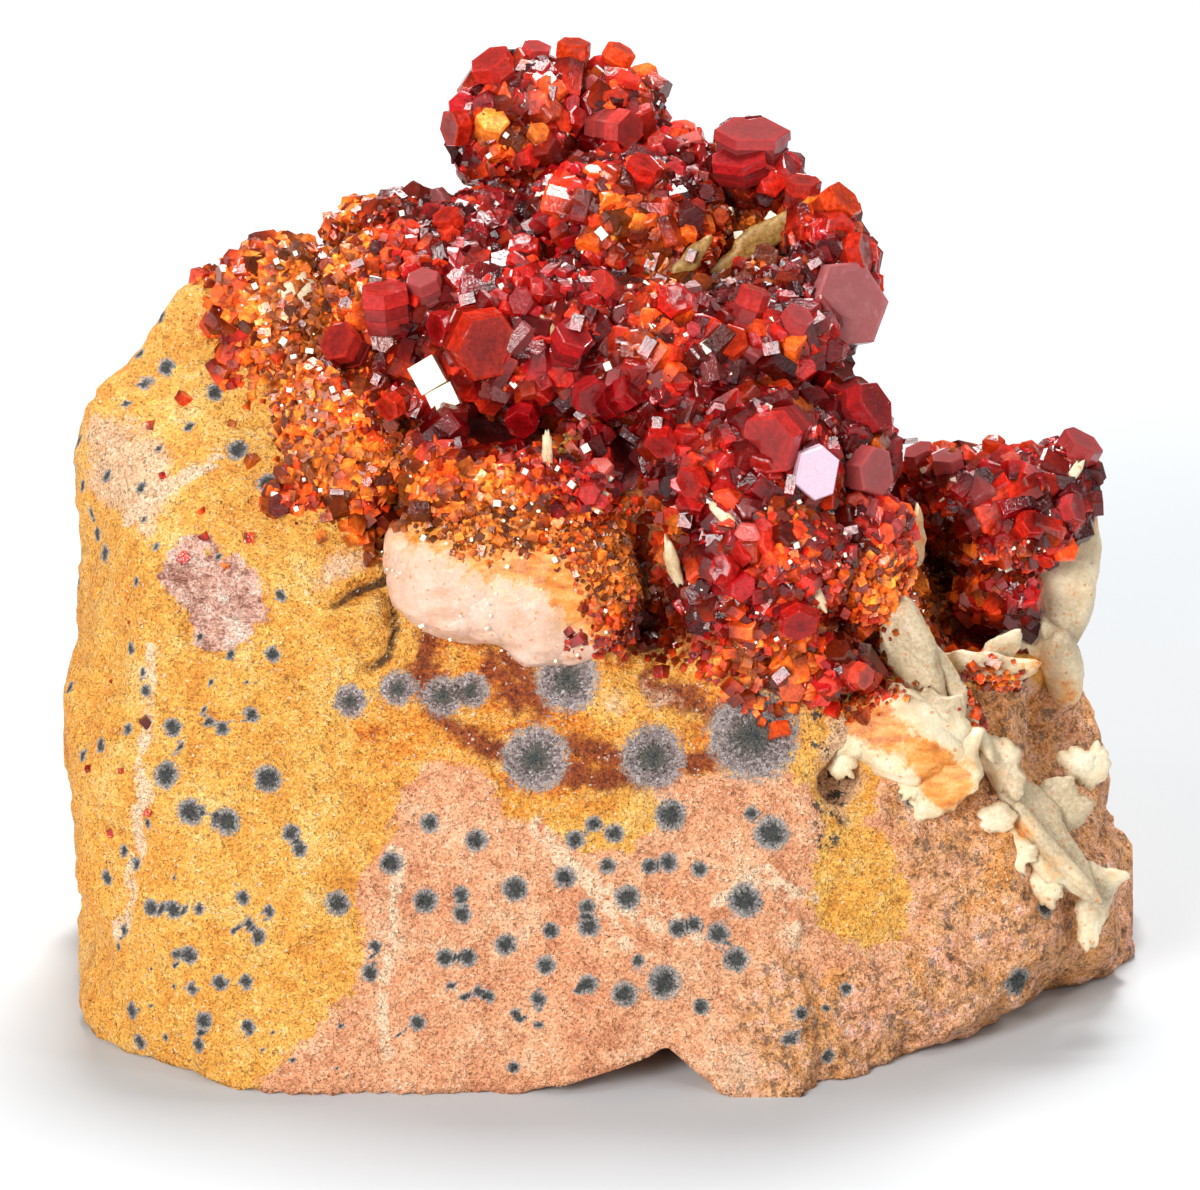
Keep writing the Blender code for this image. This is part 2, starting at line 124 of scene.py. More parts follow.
# %% Light
AIM = Vector((0, 0, 0.03))
ROOM_GLOW = 0.2
bpy.context.scene.view_settings.view_transform = "Standard"


def add_light(name, azimuth, elevation, distance, size, watts):
    """A square softbox in this direction, as far as DISTANCE in metres, that looks at AIM."""
    way = Vector(way_of(azimuth, elevation))
    data = bpy.data.lights.new(name, "AREA")
    data.size = size
    data.energy = watts
    made = bpy.data.objects.new(name, data)
    bpy.context.scene.collection.objects.link(made)
    made.location = way * distance + AIM
    made.rotation_euler = way.to_track_quat("Z", "Y").to_euler()
    return way


KEY_WAY = add_light("key softbox", -28, 24, 1.0, 0.36, 9.2)
add_light("fill softbox", 48, 26, 1.1, 0.45, 1.5)
add_light("top softbox", 176, 58, 1.0, 0.36, 12.5)
add_light("left glint", -75, 22, 0.9, 0.12, 0.8)
add_light("right glint", 80, 48, 0.9, 0.12, 0.9)
add_light("front glint", 8, 64, 0.9, 0.14, 0.7)

world = bpy.data.worlds.new("studio")
world.use_nodes = True
world.node_tree.nodes["Background"].inputs["Color"].default_value = (1, 1, 1, 1)
world.node_tree.nodes["Background"].inputs["Strength"].default_value = ROOM_GLOW
bpy.context.scene.world = world
print("lights:", ", ".join(light.name for light in bpy.data.lights))

# %% [markdown]
# ## Floor
# White paper on a table.  It isn't part of the specimen, so it isn't attached to it.

# %% Floor
FLOOR_HALF = 4.0
floor_mesh = bpy.data.meshes.new("floor")
floor_mesh.from_pydata([(x * FLOOR_HALF, y * FLOOR_HALF, 0)
                        for x, y in ((-1, -1), (1, -1), (1, 1), (-1, 1))], [], [(0, 1, 2, 3)])
floor = bpy.data.objects.new("floor", floor_mesh)
bpy.context.scene.collection.objects.link(floor)
print(f"floor {2 * FLOOR_HALF:.0f} m wide")

# %% [markdown]
# ## Small helpers for finishes
# A finish is a little network of nodes.  These helpers add a node, set or wire its inputs in one
# line, and hand back its output, so a finish reads like a recipe.


# %% Finish helpers
class Finish:
    """A material with short calls for the nodes that its recipe needs."""

    def __init__(self, name):
        self.material = bpy.data.materials.new(name)
        self.material.use_nodes = True
        self.tree = self.material.node_tree
        self.shader = self.tree.nodes["Principled BSDF"]
        place = self.tree.nodes.new("ShaderNodeTexCoord")
        self.place = self.vector_math("SCALE", place.outputs["Object"], scale=1 / MM)
        self.known = {}

    def wire(self, socket, value):
        """Join an output to a socket, or write a number or colour in it; None leaves it alone."""
        if isinstance(value, bpy.types.NodeSocket):
            self.tree.links.new(value, socket)
        elif value is not None:
            socket.default_value = (*value, 1) if isinstance(value, tuple) and len(value) == 3 and (
                socket.type == "RGBA") else value

    def math(self, operation, *values):
        """One sum on numbers, by its name in Blender."""
        node = self.tree.nodes.new("ShaderNodeMath")
        node.operation = operation
        for socket, value in zip(node.inputs, values):
            self.wire(socket, value)
        return node.outputs[0]

    def plus(self, first, second):
        return self.math("ADD", first, second)

    def minus(self, first, second):
        return self.math("SUBTRACT", first, second)

    def times(self, first, second):
        return self.math("MULTIPLY", first, second)

    def vector_math(self, operation, *values, scale=None):
        """One sum on vectors; a length or a product of two vectors comes back as a number."""
        node = self.tree.nodes.new("ShaderNodeVectorMath")
        node.operation = operation
        for socket, value in zip(node.inputs, values):
            self.wire(socket, value)
        if scale is not None:
            node.inputs["Scale"].default_value = scale
        return node.outputs["Value" if operation in ("LENGTH", "DOT_PRODUCT") else "Vector"]

    def grown(self, name):
        """An attribute that the mesh carries, split into its three numbers and the vector."""
        if name not in self.known:
            node = self.tree.nodes.new("ShaderNodeAttribute")
            node.attribute_name = name
            split = self.tree.nodes.new("ShaderNodeSeparateXYZ")
            self.tree.links.new(node.outputs["Vector"], split.inputs[0])
            self.known[name] = (*split.outputs, node.outputs["Vector"])
        return self.known[name]

    def noise(self, size, detail=2.0, roughness=0.5, place=None):
        """Soft clouds, each about SIZE millimetres across."""
        node = self.tree.nodes.new("ShaderNodeTexNoise")
        self.wire(node.inputs["Vector"], place or self.place)
        self.wire(node.inputs["Scale"], 1 / size)
        self.wire(node.inputs["Detail"], detail)
        self.wire(node.inputs["Roughness"], roughness)
        return node.outputs["Fac"]

    def grains(self, size):
        """Packed grains of SIZE millimetres.

        It gives the distance to a grain's middle and three random numbers of its own.
        """
        node = self.tree.nodes.new("ShaderNodeTexVoronoi")
        self.wire(node.inputs["Vector"], self.place)
        self.wire(node.inputs["Scale"], 1 / size)
        split = self.tree.nodes.new("ShaderNodeSeparateColor")
        self.wire(split.inputs[0], node.outputs["Color"])
        return (node.outputs["Distance"], *split.outputs)

    def facets(self, size, slope):
        """Flat glints of SIZE millimetres, each tipped its own way by up to about SLOPE.

        Within a cell the height is the offset from its middle along a random direction.
        """
        node = self.tree.nodes.new("ShaderNodeTexVoronoi")
        self.wire(node.inputs["Vector"], self.place)
        self.wire(node.inputs["Scale"], 1 / size)
        offset = self.vector_math("SUBTRACT", self.place, node.outputs["Position"])
        tilt = self.vector_math("SUBTRACT", node.outputs["Color"], (0.5, 0.5, 0.5))
        return self.math("MULTIPLY", self.vector_math("DOT_PRODUCT", offset, tilt), slope)

    def step(self, value, low, high):
        """0 below LOW, 1 above HIGH and a smooth ramp between them; LOW may be the larger."""
        node = self.tree.nodes.new("ShaderNodeMapRange")
        node.interpolation_type = "SMOOTHSTEP"
        for socket, number in zip(node.inputs, (value, low, high, 0.0, 1.0)):
            self.wire(socket, number)
        return node.outputs[0]

    def ramp(self, value, *stops):
        """Colours at places along 0 to 1."""
        node = self.tree.nodes.new("ShaderNodeValToRGB")
        self.wire(node.inputs[0], value)
        while len(node.color_ramp.elements) < len(stops):
            node.color_ramp.elements.new(0.5)
        for element, (where, colour) in zip(node.color_ramp.elements, stops):
            element.position = where
            element.color = (*colour, 1)
        return node.outputs[0]

    def mix(self, share, first, second, blend="MIX"):
        """SHARE of the second colour laid over the first."""
        node = self.tree.nodes.new("ShaderNodeMix")
        node.data_type = "RGBA"
        node.blend_type = blend
        self.wire(node.inputs[0], share)
        self.wire(node.inputs[6], first)
        self.wire(node.inputs[7], second)
        return node.outputs[2]

    def bump(self, height, strength, depth, under=None):
        """A relief whose full height is DEPTH millimetres."""
        node = self.tree.nodes.new("ShaderNodeBump")
        self.wire(node.inputs["Height"], height)
        self.wire(node.inputs["Strength"], strength)
        self.wire(node.inputs["Distance"], depth * MM)
        self.wire(node.inputs["Normal"], under)
        return node.outputs[0]

    def set(self, **inputs):
        """Write or wire the shader's own inputs and hand back the material."""
        for name, value in inputs.items():
            self.wire(self.shader.inputs[name.replace("_", " ")], value)
        return self.material


# %% White paper
PAPER_COLOUR = (0.57, 0.59, 0.605)
paper = Finish("white_paper")
floor_mesh.materials.append(paper.set(Base_Color=PAPER_COLOUR, Roughness=0.9))
print("finish:", paper.material.name)

# %% [markdown]
# ## Closed grids
# A surface is a grid of rings between two poles, so it is always closed.  Points are computed as
# whole arrays; the triangles between them follow the same pattern whatever the shape is.


# %% Closed grids
def ring_triangles(rings, columns):
    """Triangles of a closed surface: a pole, RINGS rings of COLUMNS points, and a pole.

    Each point joins its right hand neighbour and the two above them; fans close the poles.
    """
    start = 1 + np.arange(rings)[:, None] * columns
    here = np.arange(columns)
    right = (here + 1) % columns
    a, b = start[:-1] + here, start[:-1] + right
    c, d = start[1:] + right, start[1:] + here
    body = np.stack([a, b, c, a, c, d], axis=-1).reshape(-1, 3)
    top = 1 + rings * columns
    last = top - columns
    first_fan = np.stack([0 * here, 1 + right, 1 + here], axis=-1)
    last_fan = np.stack([0 * here + top, last + here, last + right], axis=-1)
    return np.concatenate([first_fan, body, last_fan])


def ball_ways(rings, columns):
    """Unit vectors of a closed ball grid: a pole at -Z, even rings, a pole at +Z."""
    height = -np.pi / 2 + np.pi * (np.arange(rings) + 1)[:, None] / (rings + 1)
    around = 2 * np.pi * np.arange(columns)[None, :] / columns
    ways = np.stack([np.cos(height) * np.cos(around), np.cos(height) * np.sin(around),
                     np.sin(height) + 0 * around], axis=-1).reshape(-1, 3)
    return np.concatenate([[[0, 0, -1]], ways, [[0, 0, 1]]])


def surface_normals(points, triangles):
    """Unit normals at the points: the sum of the cross products of the triangles round each."""
    corner = points[triangles]
    cross = np.cross(corner[:, 1] - corner[:, 0], corner[:, 2] - corner[:, 0])
    total = np.stack([np.bincount(triangles.ravel(), np.repeat(cross[:, k], 3), len(points))
                      for k in range(3)], axis=-1)
    return total / np.maximum(np.linalg.norm(total, axis=1, keepdims=True), 1e-12)


def join_shells(shells):
    """Several closed shells as one list of points and one of triangles."""
    starts = np.cumsum([0] + [len(points) for points, _ in shells[:-1]])
    return (np.concatenate([points for points, _ in shells]),
            np.concatenate([triangles + start for (_, triangles), start in zip(shells, starts)]))


print("a ball of 8 rings of 12:", len(ring_triangles(8, 12)), "triangles")

# %% [markdown]
# ## Noise
# Nature has no straight edges.  A lattice of random numbers, blended smoothly from corner to
# corner, gives soft hills at any place in space, and the same ones on each run.


# %% Noise
LATTICE = 1024
NEXT_LAYER = 0.55


def smooth_step(value, low, high):
    """0 below LOW, 1 above HIGH and 3t^2 - 2t^3 between them."""
    part = np.clip((value - low) / (high - low), 0, 1)
    return part * part * (3 - 2 * part)


def cell_noise(points, cell, seed):
    """Noise from -1 to 1: a random number at each corner of a lattice, blended across each cell."""
    rng = np.random.default_rng(seed)
    order, numbers = rng.permutation(LATTICE), rng.uniform(-1, 1, LATTICE)
    scaled = points / cell
    low = np.floor(scaled).astype(int)
    part = smooth_step(scaled - low, 0, 1)
    total = np.zeros(len(points))
    for corner in np.ndindex(2, 2, 2):
        weight = np.where(corner, part, 1 - part).prod(axis=1)
        x, y, z = (low + corner).T
        total += weight * numbers[order[(order[(order[x % LATTICE] + y) % LATTICE] + z) % LATTICE]]
    return total


def rough_noise(points, cell, seed, octaves=3):
    """Layers of cell noise, each half as wide and a little over half as strong as the last."""
    return sum(cell_noise(points, cell / 2 ** k, seed + k) * NEXT_LAYER ** k for k in range(octaves))


print("noise at three places:", cell_noise(np.diag([0.5, 1.5, 2.5]), 1.0, 1).round(2))

# %% [markdown]
# ## Lines and outlines
# Colour zones, veins and cracks are drawn as lines and outlines in the front frame, as on a map.
# These two functions say how far every point of a mesh is from one of them.


# %% Lines and outlines
def line_distance(across, up, line):
    """Distance from each place to a line of straight stretches.

    On each stretch the nearest place is its start plus a share of it, held between 0 and 1.
    """
    place = np.stack([across, up], axis=-1)
    nearest = np.full(len(place), np.inf)
    for start, end in zip(np.array(line[:-1], float), np.array(line[1:], float)):
        along = end - start
        share = np.clip((place - start) @ along / (along @ along), 0, 1)
        nearest = np.minimum(nearest, np.linalg.norm(place - start - share[:, None] * along, axis=1))
    return nearest


def outline_depth(across, up, outline):
    """How far inside a closed outline each place lies; outside it is negative.

    A place is inside when a line from it to the right crosses the outline an odd number of times.
    """
    closed = outline + outline[:1]
    inside = np.zeros(len(across), bool)
    for (x0, y0), (x1, y1) in zip(closed[:-1], closed[1:]):
        if y0 != y1:
            inside ^= ((y0 > up) != (y1 > up)) & (across < (x1 - x0) * (up - y0) / (y1 - y0) + x0)
    return np.where(inside, 1, -1) * line_distance(across, up, closed)


corner_depth = outline_depth(np.array([1.0]), np.array([1.0]), [(0, 0), (4, 0), (4, 4), (0, 4)])
print("depth inside a square at its corner:", corner_depth)

# %% [markdown]
# ## From points to a piece
# The arrays go into a mesh in one call each.  The object stays at the origin and its place is in
# its points, in metres.  Numbers that a finish needs, such as how rusty a place is, go in as
# attributes.


# %% From points to a piece
def make_piece(name, points, triangles, material, smooth=True, attributes=None):
    """A mesh object at the origin from points in millimetres; it rides on the specimen."""
    mesh = bpy.data.meshes.new(name)
    mesh.vertices.add(len(points))
    mesh.vertices.foreach_set("co", (points * MM).astype(np.float32).ravel())
    mesh.loops.add(triangles.size)
    mesh.loops.foreach_set("vertex_index", triangles.astype(np.int32).ravel())
    mesh.polygons.add(len(triangles))
    mesh.polygons.foreach_set("loop_start", np.arange(0, triangles.size, 3, dtype=np.int32))
    mesh.update(calc_edges=True)
    mesh.polygons.foreach_set("use_smooth", np.full(len(triangles), smooth))
    for title, values in (attributes or {}).items():
        layer = mesh.attributes.new(title, "FLOAT_VECTOR", "POINT")
        layer.data.foreach_set("vector", values.astype(np.float32).ravel())
    mesh.materials.append(material)
    piece = bpy.data.objects.new(name, mesh)
    bpy.context.scene.collection.objects.link(piece)
    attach(piece, "root")
    print(f"{name}: {len(triangles)} triangles")
    return piece


# %% [markdown]
# ## The block
# Broken rock is a set of rough flat sides.  A line from the heart of the block meets a side at
# height / cosine, and a high power mean of all the sides picks the nearest with a small rounding.
# Waves of many lengths and named swells then make the sides uneven.  A ball of rings carries the
# formula, with its columns packed towards the front, where the surface is seen close.

# %% Sides and swells
ROCK_HEART = np.array([0.0, 3.0, 22.0])
# azimuth and elevation of a side, and a point on it
ROCK_SIDES = [
    (-2, 20, (0, -26.1, 0)),
    (-50, 10, (-36.5, -17.3, 0)),
    (-86, 0, (-39.2, -5, 15)),
    (-66, 38, (-40.3, -1.4, 44.2)),
    (-10, 52, (-20, -11, 39)),
    (27, 20, (12, -26.5, 0)),
    (52, -35, (17, -27, 0)),
    (78, 54, (36, 3, 21.5)),
    (86, 8, (39.0, 8, 6)),
    (170, 6, (0, 27, 0)),
    (-140, 12, (-30, 21, 0)),
    (140, 12, (30, 21, 0)),
    (180, 60, (0, 24, 45)),
    (0, -90, (0, 0, -2.5)),
]
# across, up, back, reach, height
ROCK_SWELLS = [
    (-28.5, 25.5, -1.0, 6.0, 1.6),
    (-39.0, 11.0, -5.0, 5.0, 1.9),
    (38.0, -10.4, -1.0, 5.8, -5.6),
    (-39.0, -6.0, -6.0, 5.0, 1.2),
    (-39.5, -25.4, -2.6, 4.2, -3.4),
    (4.0, -36.5, -16.0, 5.2, -1.6),
    (12.8, -37.0, -18.5, 3.2, 6.0),
    (18.3, -13.6, -14.5, 1.9, -2.2),
    (-28.5, 0.0, -16.5, 4.0, -1.5),
    (-16.5, 5.0, -16.0, 3.0, -2.0),
    (-17.5, -2.5, -17.0, 2.8, 1.3),
    (-3.0, -10.0, -17.5, 8.0, 0.9),
    (-3.0, -19.0, -17.5, 5.0, -0.8),
    (31.5, -9.5, -5.0, 4.0, 2.0),
    (28.0, -3.0, -3.0, 3.5, -2.5),
    (38.5, -22.0, -1.0, 4.0, 1.4),
    (20.5, -21.5, -13.5, 5.0, 0.7),
    (30.0, -29.0, -7.0, 6.0, 1.8),
    (6.0, -27.0, -18.0, 7.0, 0.6),
    (38.8, -15.6, 12.0, 4.2, -2.4),
    (37.5, -28.0, 8.0, 4.6, 1.8),
    (30.0, -31.5, -5.0, 4.2, -1.6),
    (-30.0, -36.0, -13.5, 3.6, -1.6),
    (18.0, -35.5, -12.0, 3.6, 1.4),
]
print(len(ROCK_SIDES), "sides and", len(ROCK_SWELLS), "swells")

# %% Block formula
CREASE = 18
WAVE_SEED = 5
WAVE_LENGTHS = (30.0, 7.0)
WAVE_COUNT = 16
WAVE_HEIGHT = 0.016


def rock_reach(ways):
    """Distance from the heart to the sides: the power mean of cosine / height, turned over."""
    total = np.zeros(len(ways))
    for azimuth, elevation, point in ROCK_SIDES:
        normal = way_of(azimuth, elevation)
        height = normal @ (np.array(point) - ROCK_HEART)
        total += (np.maximum(ways @ normal, 1e-9) / height) ** CREASE
    return total ** (-1 / CREASE)


def unevenness(points):
    """Plane waves added up: height * length * sin(2 pi (place along the way) / length + phase)."""
    rng = np.random.default_rng(WAVE_SEED)
    total = np.zeros(len(points))
    for length in np.geomspace(*WAVE_LENGTHS, WAVE_COUNT):
        way = rng.normal(size=3)
        way /= np.linalg.norm(way)
        phase = rng.uniform(0, 2 * math.pi)
        total += WAVE_HEIGHT * length * np.sin(2 * math.pi * (points @ way) / length + phase)
    return total


def rock_distance(ways):
    """Reach of the sides, plus the waves, plus a soft bell for each swell."""
    reach = rock_reach(ways)
    points = ROCK_HEART + ways * reach[:, None]
    reach = reach + unevenness(points)
    for across, up, back, size, height in ROCK_SWELLS:
        far = ((points - from_front(across, up, back)) ** 2).sum(axis=1)
        reach += height * np.exp(-far / size ** 2)
    return reach


print("from the heart to the front:", rock_distance(np.array([[0.0, -1.0, 0.0]])).round(1), "mm")

# %% Block grid
ROCK_RINGS = 215
ROCK_COLUMNS = 430
FRONT_PACKING = 0.55
RING_SHARES = (0, 0.05, 0.13, 0.88, 1)
RING_HEIGHTS = (-90, -62, -42, 58, 90)
FACING_RAMP = (0.0, 0.35)


def rock_grid():
    """Unit vectors from the heart: rings by height and columns that crowd to the front.

    A column's turn is t + packing * sin(2 pi t) / (2 pi) of a full turn, slowest at the front.
    """
    share = (np.arange(ROCK_RINGS) + 0.5)[:, None] / ROCK_RINGS
    height = np.radians(np.interp(share, RING_SHARES, RING_HEIGHTS))
    turn = np.arange(ROCK_COLUMNS)[None, :] / ROCK_COLUMNS - 0.5
    turn = turn - FRONT_PACKING * np.sin(2 * np.pi * turn) / (2 * np.pi)
    around = 2 * np.pi * turn - np.pi / 2
    ways = np.stack([np.cos(height) * np.cos(around), np.cos(height) * np.sin(around),
                     np.sin(height) + 0 * around], axis=-1).reshape(-1, 3)
    return np.concatenate([[[0, 0, -1]], ways, [[0, 0, 1]]])


ways = rock_grid()
rock_triangles = ring_triangles(ROCK_RINGS, ROCK_COLUMNS)
rock_points = ROCK_HEART + ways * rock_distance(ways)[:, None]
rock_normals = surface_normals(rock_points, rock_triangles)
across, up, back = to_front(rock_points)
facing = smooth_step(rock_normals @ -AWAY, *FACING_RAMP)
print(f"block grid of {len(rock_points)} points, {rock_points[:, 0].min():.1f} to "
      f"{rock_points[:, 0].max():.1f} mm across")

# %% [markdown]
# ## Zones of the rock
# The left of the block is ochre, the lower right salmon pink, and a rust band runs between them
# under the barite.  Each zone is an outline in the front frame.  The mesh stores how deep inside
# the outline each point lies, as a soft ramp, and the finish later breaks its edge with noise,
# which keeps the border crisp and natural at any distance.

# %% Zone outlines
PINK = [(-26, -37), (-22, -33), (-18.5, -30), (-17.5, -26), (-18.5, -21), (-16, -19), (-15, -15),
        (-12, -12), (-9, -12.5), (-7.5, -14), (-6.8, -16.3), (-4, -17.2), (-1, -18.8), (2.2, -18.8),
        (5, -16.5), (3.8, -14.4), (6, -13), (9, -13.2), (13, -12.5), (15.5, -14), (16.8, -17),
        (16, -20), (15.5, -23), (17.5, -25.6), (20, -26.4), (22.6, -25.5), (23.4, -22), (21.6, -18.6),
        (19.8, -17), (20.6, -14), (25, -9), (28, -6), (31, -6.4), (34, -7), (44, -6), (44, -60), (-26, -60)]
RUST = [(-18.5, -10), (-16, -12.5), (-13, -11.8), (-9, -12.4), (-7.2, -14), (-6.8, -16.2),
        (0.4, -16), (1, -13.8), (5, -13.3), (9, -12.8), (10, -10), (9, -6.5), (4, -5), (-1, -4.5),
        (-8, -3.8), (-12, -2.5), (-13.5, -5), (-15.5, -8)]
TAN_ISLANDS = [
    [(-1.5, -8.6), (1, -10.2), (5, -10.3), (8, -9.2), (6.5, -6.4), (3, -5.2), (0, -6)],
    [(-12.2, -5.6), (-10.8, -6), (-9.6, -4.4), (-11, -3.4)],
]
PALE = [
    [(-38, 14), (-35, 13), (-32, 11), (-31.5, 7), (-33.5, 4), (-36, 6), (-38.5, 8)],
    [(-22, -0.5), (-19.5, 0.5), (-17, 3), (-18.5, 4.2), (-21, 2)],
    [(20, -6.5), (17, -8.5), (14.5, -8), (13.5, -6.5), (16, -5.5)],
    [(17, -9), (19.5, -9), (20, -14), (18.5, -17), (16.5, -15.5), (16, -11)],
    [(8, -33.6), (11, -33), (12.8, -36), (10.5, -38.5)],
]
LILAC = [(-32.5, 2.6), (-31, 3.8), (-28.6, 3.9), (-26.4, 2.8), (-25, 0.6), (-25, -1.6), (-26.6, -3.2),
         (-28.6, -4.2), (-30.2, -3.4), (-31.4, -1)]
MOTTLED = [(11, -25.5), (17, -27), (22, -26.4), (23.6, -23), (21.6, -18), (20, -15), (25, -8),
           (28, -5.6), (34, -6.4), (44, -6), (44, -60), (10, -60), (9, -33)]
SPECKLED = [(12, -7.5), (16.5, -7.5), (19.5, -12), (18.5, -19), (15.5, -19.5), (15, -14), (12.5, -12)]
print("zones:", 6 + len(TAN_ISLANDS) + len(PALE))

# %% Streaks and veins
DARK_STREAKS = [
    [(-12.4, -3.0), (-13.2, -5.6), (-12.6, -8.6), (-10.5, -10.2), (-7, -11.6), (-4.8, -13.4),
     (0, -13.4), (4, -13.2), (8, -12.6)],
    [(-2.6, -11.6), (1.6, -11.8)],
    [(6.4, -12), (9.2, -12.2)],
    [(3.6, -6.4), (6, -7.8), (9, -8.6)],
    [(-8.4, -4.6), (-6.4, -7.6)],
    [(-6.6, -4.8), (-4.4, -8)],
]
PINK_VEINS = [
    [(-33.6, -4), (-34, -12), (-34.4, -18), (-35.4, -25)],
    [(-15.2, -18.6), (-15.7, -24), (-16.1, -28), (-15.7, -34)],
    [(-35, 5), (-33, 7.4), (-30, 9.5), (-28.6, 11)],
    [(13.6, -23.6), (14.6, -26)],
]
CREAM_VEINS = [
    [(-5, -17.2), (-3, -19.6), (-0.5, -21.6), (1, -24), (2, -26)],
    [(4.6, -22.8), (7, -25.4)],
    [(1, -22), (4.4, -24.6)],
    [(15.5, -22.6), (12, -20.6), (9, -22.4)],
]
print("streaks and veins:", len(DARK_STREAKS) + len(PINK_VEINS) + len(CREAM_VEINS))

# %% [markdown]
# ## Where the crystals stand
# The crust covers the top of the block and hangs over its front in tongues.  Between the crystals
# there are hollows, which draw the surface back; shade is painted on whatever stands in them.

# %% Crust ground and hollows
CRUST_GROUND = [
    [(-29.6, 24.5), (-28.4, 27), (-20, 30), (-8, 30), (-4, 12), (-9, 4), (-13, 3), (-15, 4.2), (-18, 4.6),
     (-19.6, 7.4), (-22.4, 9.4), (-23.6, 13), (-26.8, 18)],
    [(-12, 30), (24, 30), (25, 4), (21, -6.4), (17.5, -7.4), (10, -7.0), (6.4, -3.6), (6, 1), (2.4, 4),
     (-2, 10)],
    [(0.4, -3.0), (2, -3.6), (6.4, -4.4), (10, -7), (9, 6), (-2, 8)],
    [(22, 13), (38, 13), (37, 2), (33, -1.5), (30, -4), (26, -3), (22.6, 0)],
]
# hollows between the crystals: across, up, reach across, reach up, depth, and the darkness of the painted shade in
# them
HOLLOWS = [
    (3.6, -2.8, 1.6, 1.9, 3.4, 1.1),
    (5.0, -1.0, 1.6, 2.2, 3.0, 1.1),
    (3.2, 3.0, 1.1, 3.2, 2.4, 1.2),
    (-15.2, 5.8, 1.6, 2.4, 1.2, 0.75),
    (20.3, -4.4, 2.0, 1.4, 2.2, 1.2),
    (28.8, -2.6, 3.4, 1.3, 2.4, 1.3),
    (25.8, 2.8, 1.6, 4.4, 2.0, 0.9),
    (-8.0, 12.4, 3.4, 1.7, 3.4, 1.3),
    (2.4, 11.0, 1.9, 2.2, 3.0, 1.2),
    (16.8, 6.8, 1.5, 0.9, 1.6, 1.1),
    (9.0, 29.2, 4.6, 1.3, 1.8, 1.0),
    (10.8, 23.0, 3.4, 1.3, 2.4, 1.2),
    (14.8, 25.2, 2.4, 0.9, 2.0, 1.0),
    (-7.0, 35.4, 1.1, 1.1, 1.4, 1.0),
    (20.6, 17.0, 1.6, 1.6, 1.4, 0.8),
    (-3.6, 13.2, 1.6, 1.2, 1.6, 0.9),
    (15.2, 14.6, 1.5, 1.2, 1.4, 0.8),
    (-14.6, 12.6, 1.8, 1.0, 1.4, 0.8),
    (26.8, 5.0, 2.0, 1.2, 1.2, 0.8),
]
print("tongues:", len(CRUST_GROUND), "hollows:", len(HOLLOWS))

# %% [markdown]
# ## From outlines to numbers
# Each zone becomes one number at each point of the block: 0 outside, 0.5 on the outline and 1
# inside.  Veins are crossed with a little noise, so that they wander as real ones do.

# %% Zone formulas
ZONE_RAMP = 1.6


def zone(*outlines, across=across, up=up):
    """0.5 on the outline, rising to 1 well inside and falling to 0 outside."""
    depth = np.max([outline_depth(across, up, outline) for outline in outlines], axis=0)
    return np.clip(0.5 + depth / (2 * ZONE_RAMP), 0, 1)


def stripe(lines, half_width):
    """0.5 at HALF_WIDTH from the nearest line, 1 on it."""
    near = np.min([line_distance(wander_across, wander_up, line) for line in lines], axis=0)
    return np.clip(1 - 0.5 * near / half_width, 0, 1)


def bells(points, places):
    """Sum of bells in the front frame: across, up, reach across, reach up, amount."""
    x, y, _ = to_front(points)
    return sum(amount * np.exp(-((x - a) / wide) ** 2 - ((y - b) / high) ** 2)
               for a, b, wide, high, amount in places)


def hollow_depth(points):
    """How far back the hollows draw a point, in millimetres."""
    return bells(points, [(*place, depth) for *place, depth, _ in HOLLOWS])


def hollow_shade(points):
    """Painted shade between the crystals, 0 to 1: how much darker the colour is made in the hollows."""
    return np.clip(bells(points, [(*place, dark) for *place, _, dark in HOLLOWS]), 0, 1)


print("deepest hollow:", hollow_depth(rock_points).max().round(1), "mm")

# %% Zone numbers
FRONT_DEPTH = 4
WANDER, WANDER_CELL = 0.7, 2.2
STREAK_WIDTH, PINK_VEIN_WIDTH, CREAM_VEIN_WIDTH = 1.0, 0.45, 0.55
TAN_SHARE = 0.5
in_front = back < FRONT_DEPTH
wander_across = across + WANDER * cell_noise(rock_points, WANDER_CELL, 61)
wander_up = up + WANDER * cell_noise(rock_points, WANDER_CELL, 62)
pink_zone = zone(PINK)
rust_zone = np.minimum(zone(RUST), 1 - zone(*TAN_ISLANDS)) * in_front * facing
pale_zone = np.maximum(zone(*PALE), TAN_SHARE * zone(*TAN_ISLANDS)) * in_front
lilac_zone = zone(LILAC, across=wander_across, up=wander_up) * in_front * facing
dark_zone = stripe(DARK_STREAKS, STREAK_WIDTH) * in_front * facing
vein_zone = np.maximum(stripe(PINK_VEINS, PINK_VEIN_WIDTH), stripe(CREAM_VEINS, CREAM_VEIN_WIDTH))
vein_zone = vein_zone * in_front * facing
mottled_zone = zone(MOTTLED)
speckled_zone = zone(SPECKLED) * in_front
crust_zone = zone(*CRUST_GROUND) * smooth_step(facing, 0, 0.3)
side_zone = smooth_step(-rock_normals[:, 0], 0.5, 0.9)
print("points in the pink:", int((pink_zone > 0.5).sum()))

# %% [markdown]
# ## Relief of the block
# Cracks are grooves along a line, holes are soft dents, and the flake and the pink patch stand
# out or lie back a little.  All of it moves points along the surface's own direction by a sum of
# bell curves, and layers of noise give the broken, sandy skin.

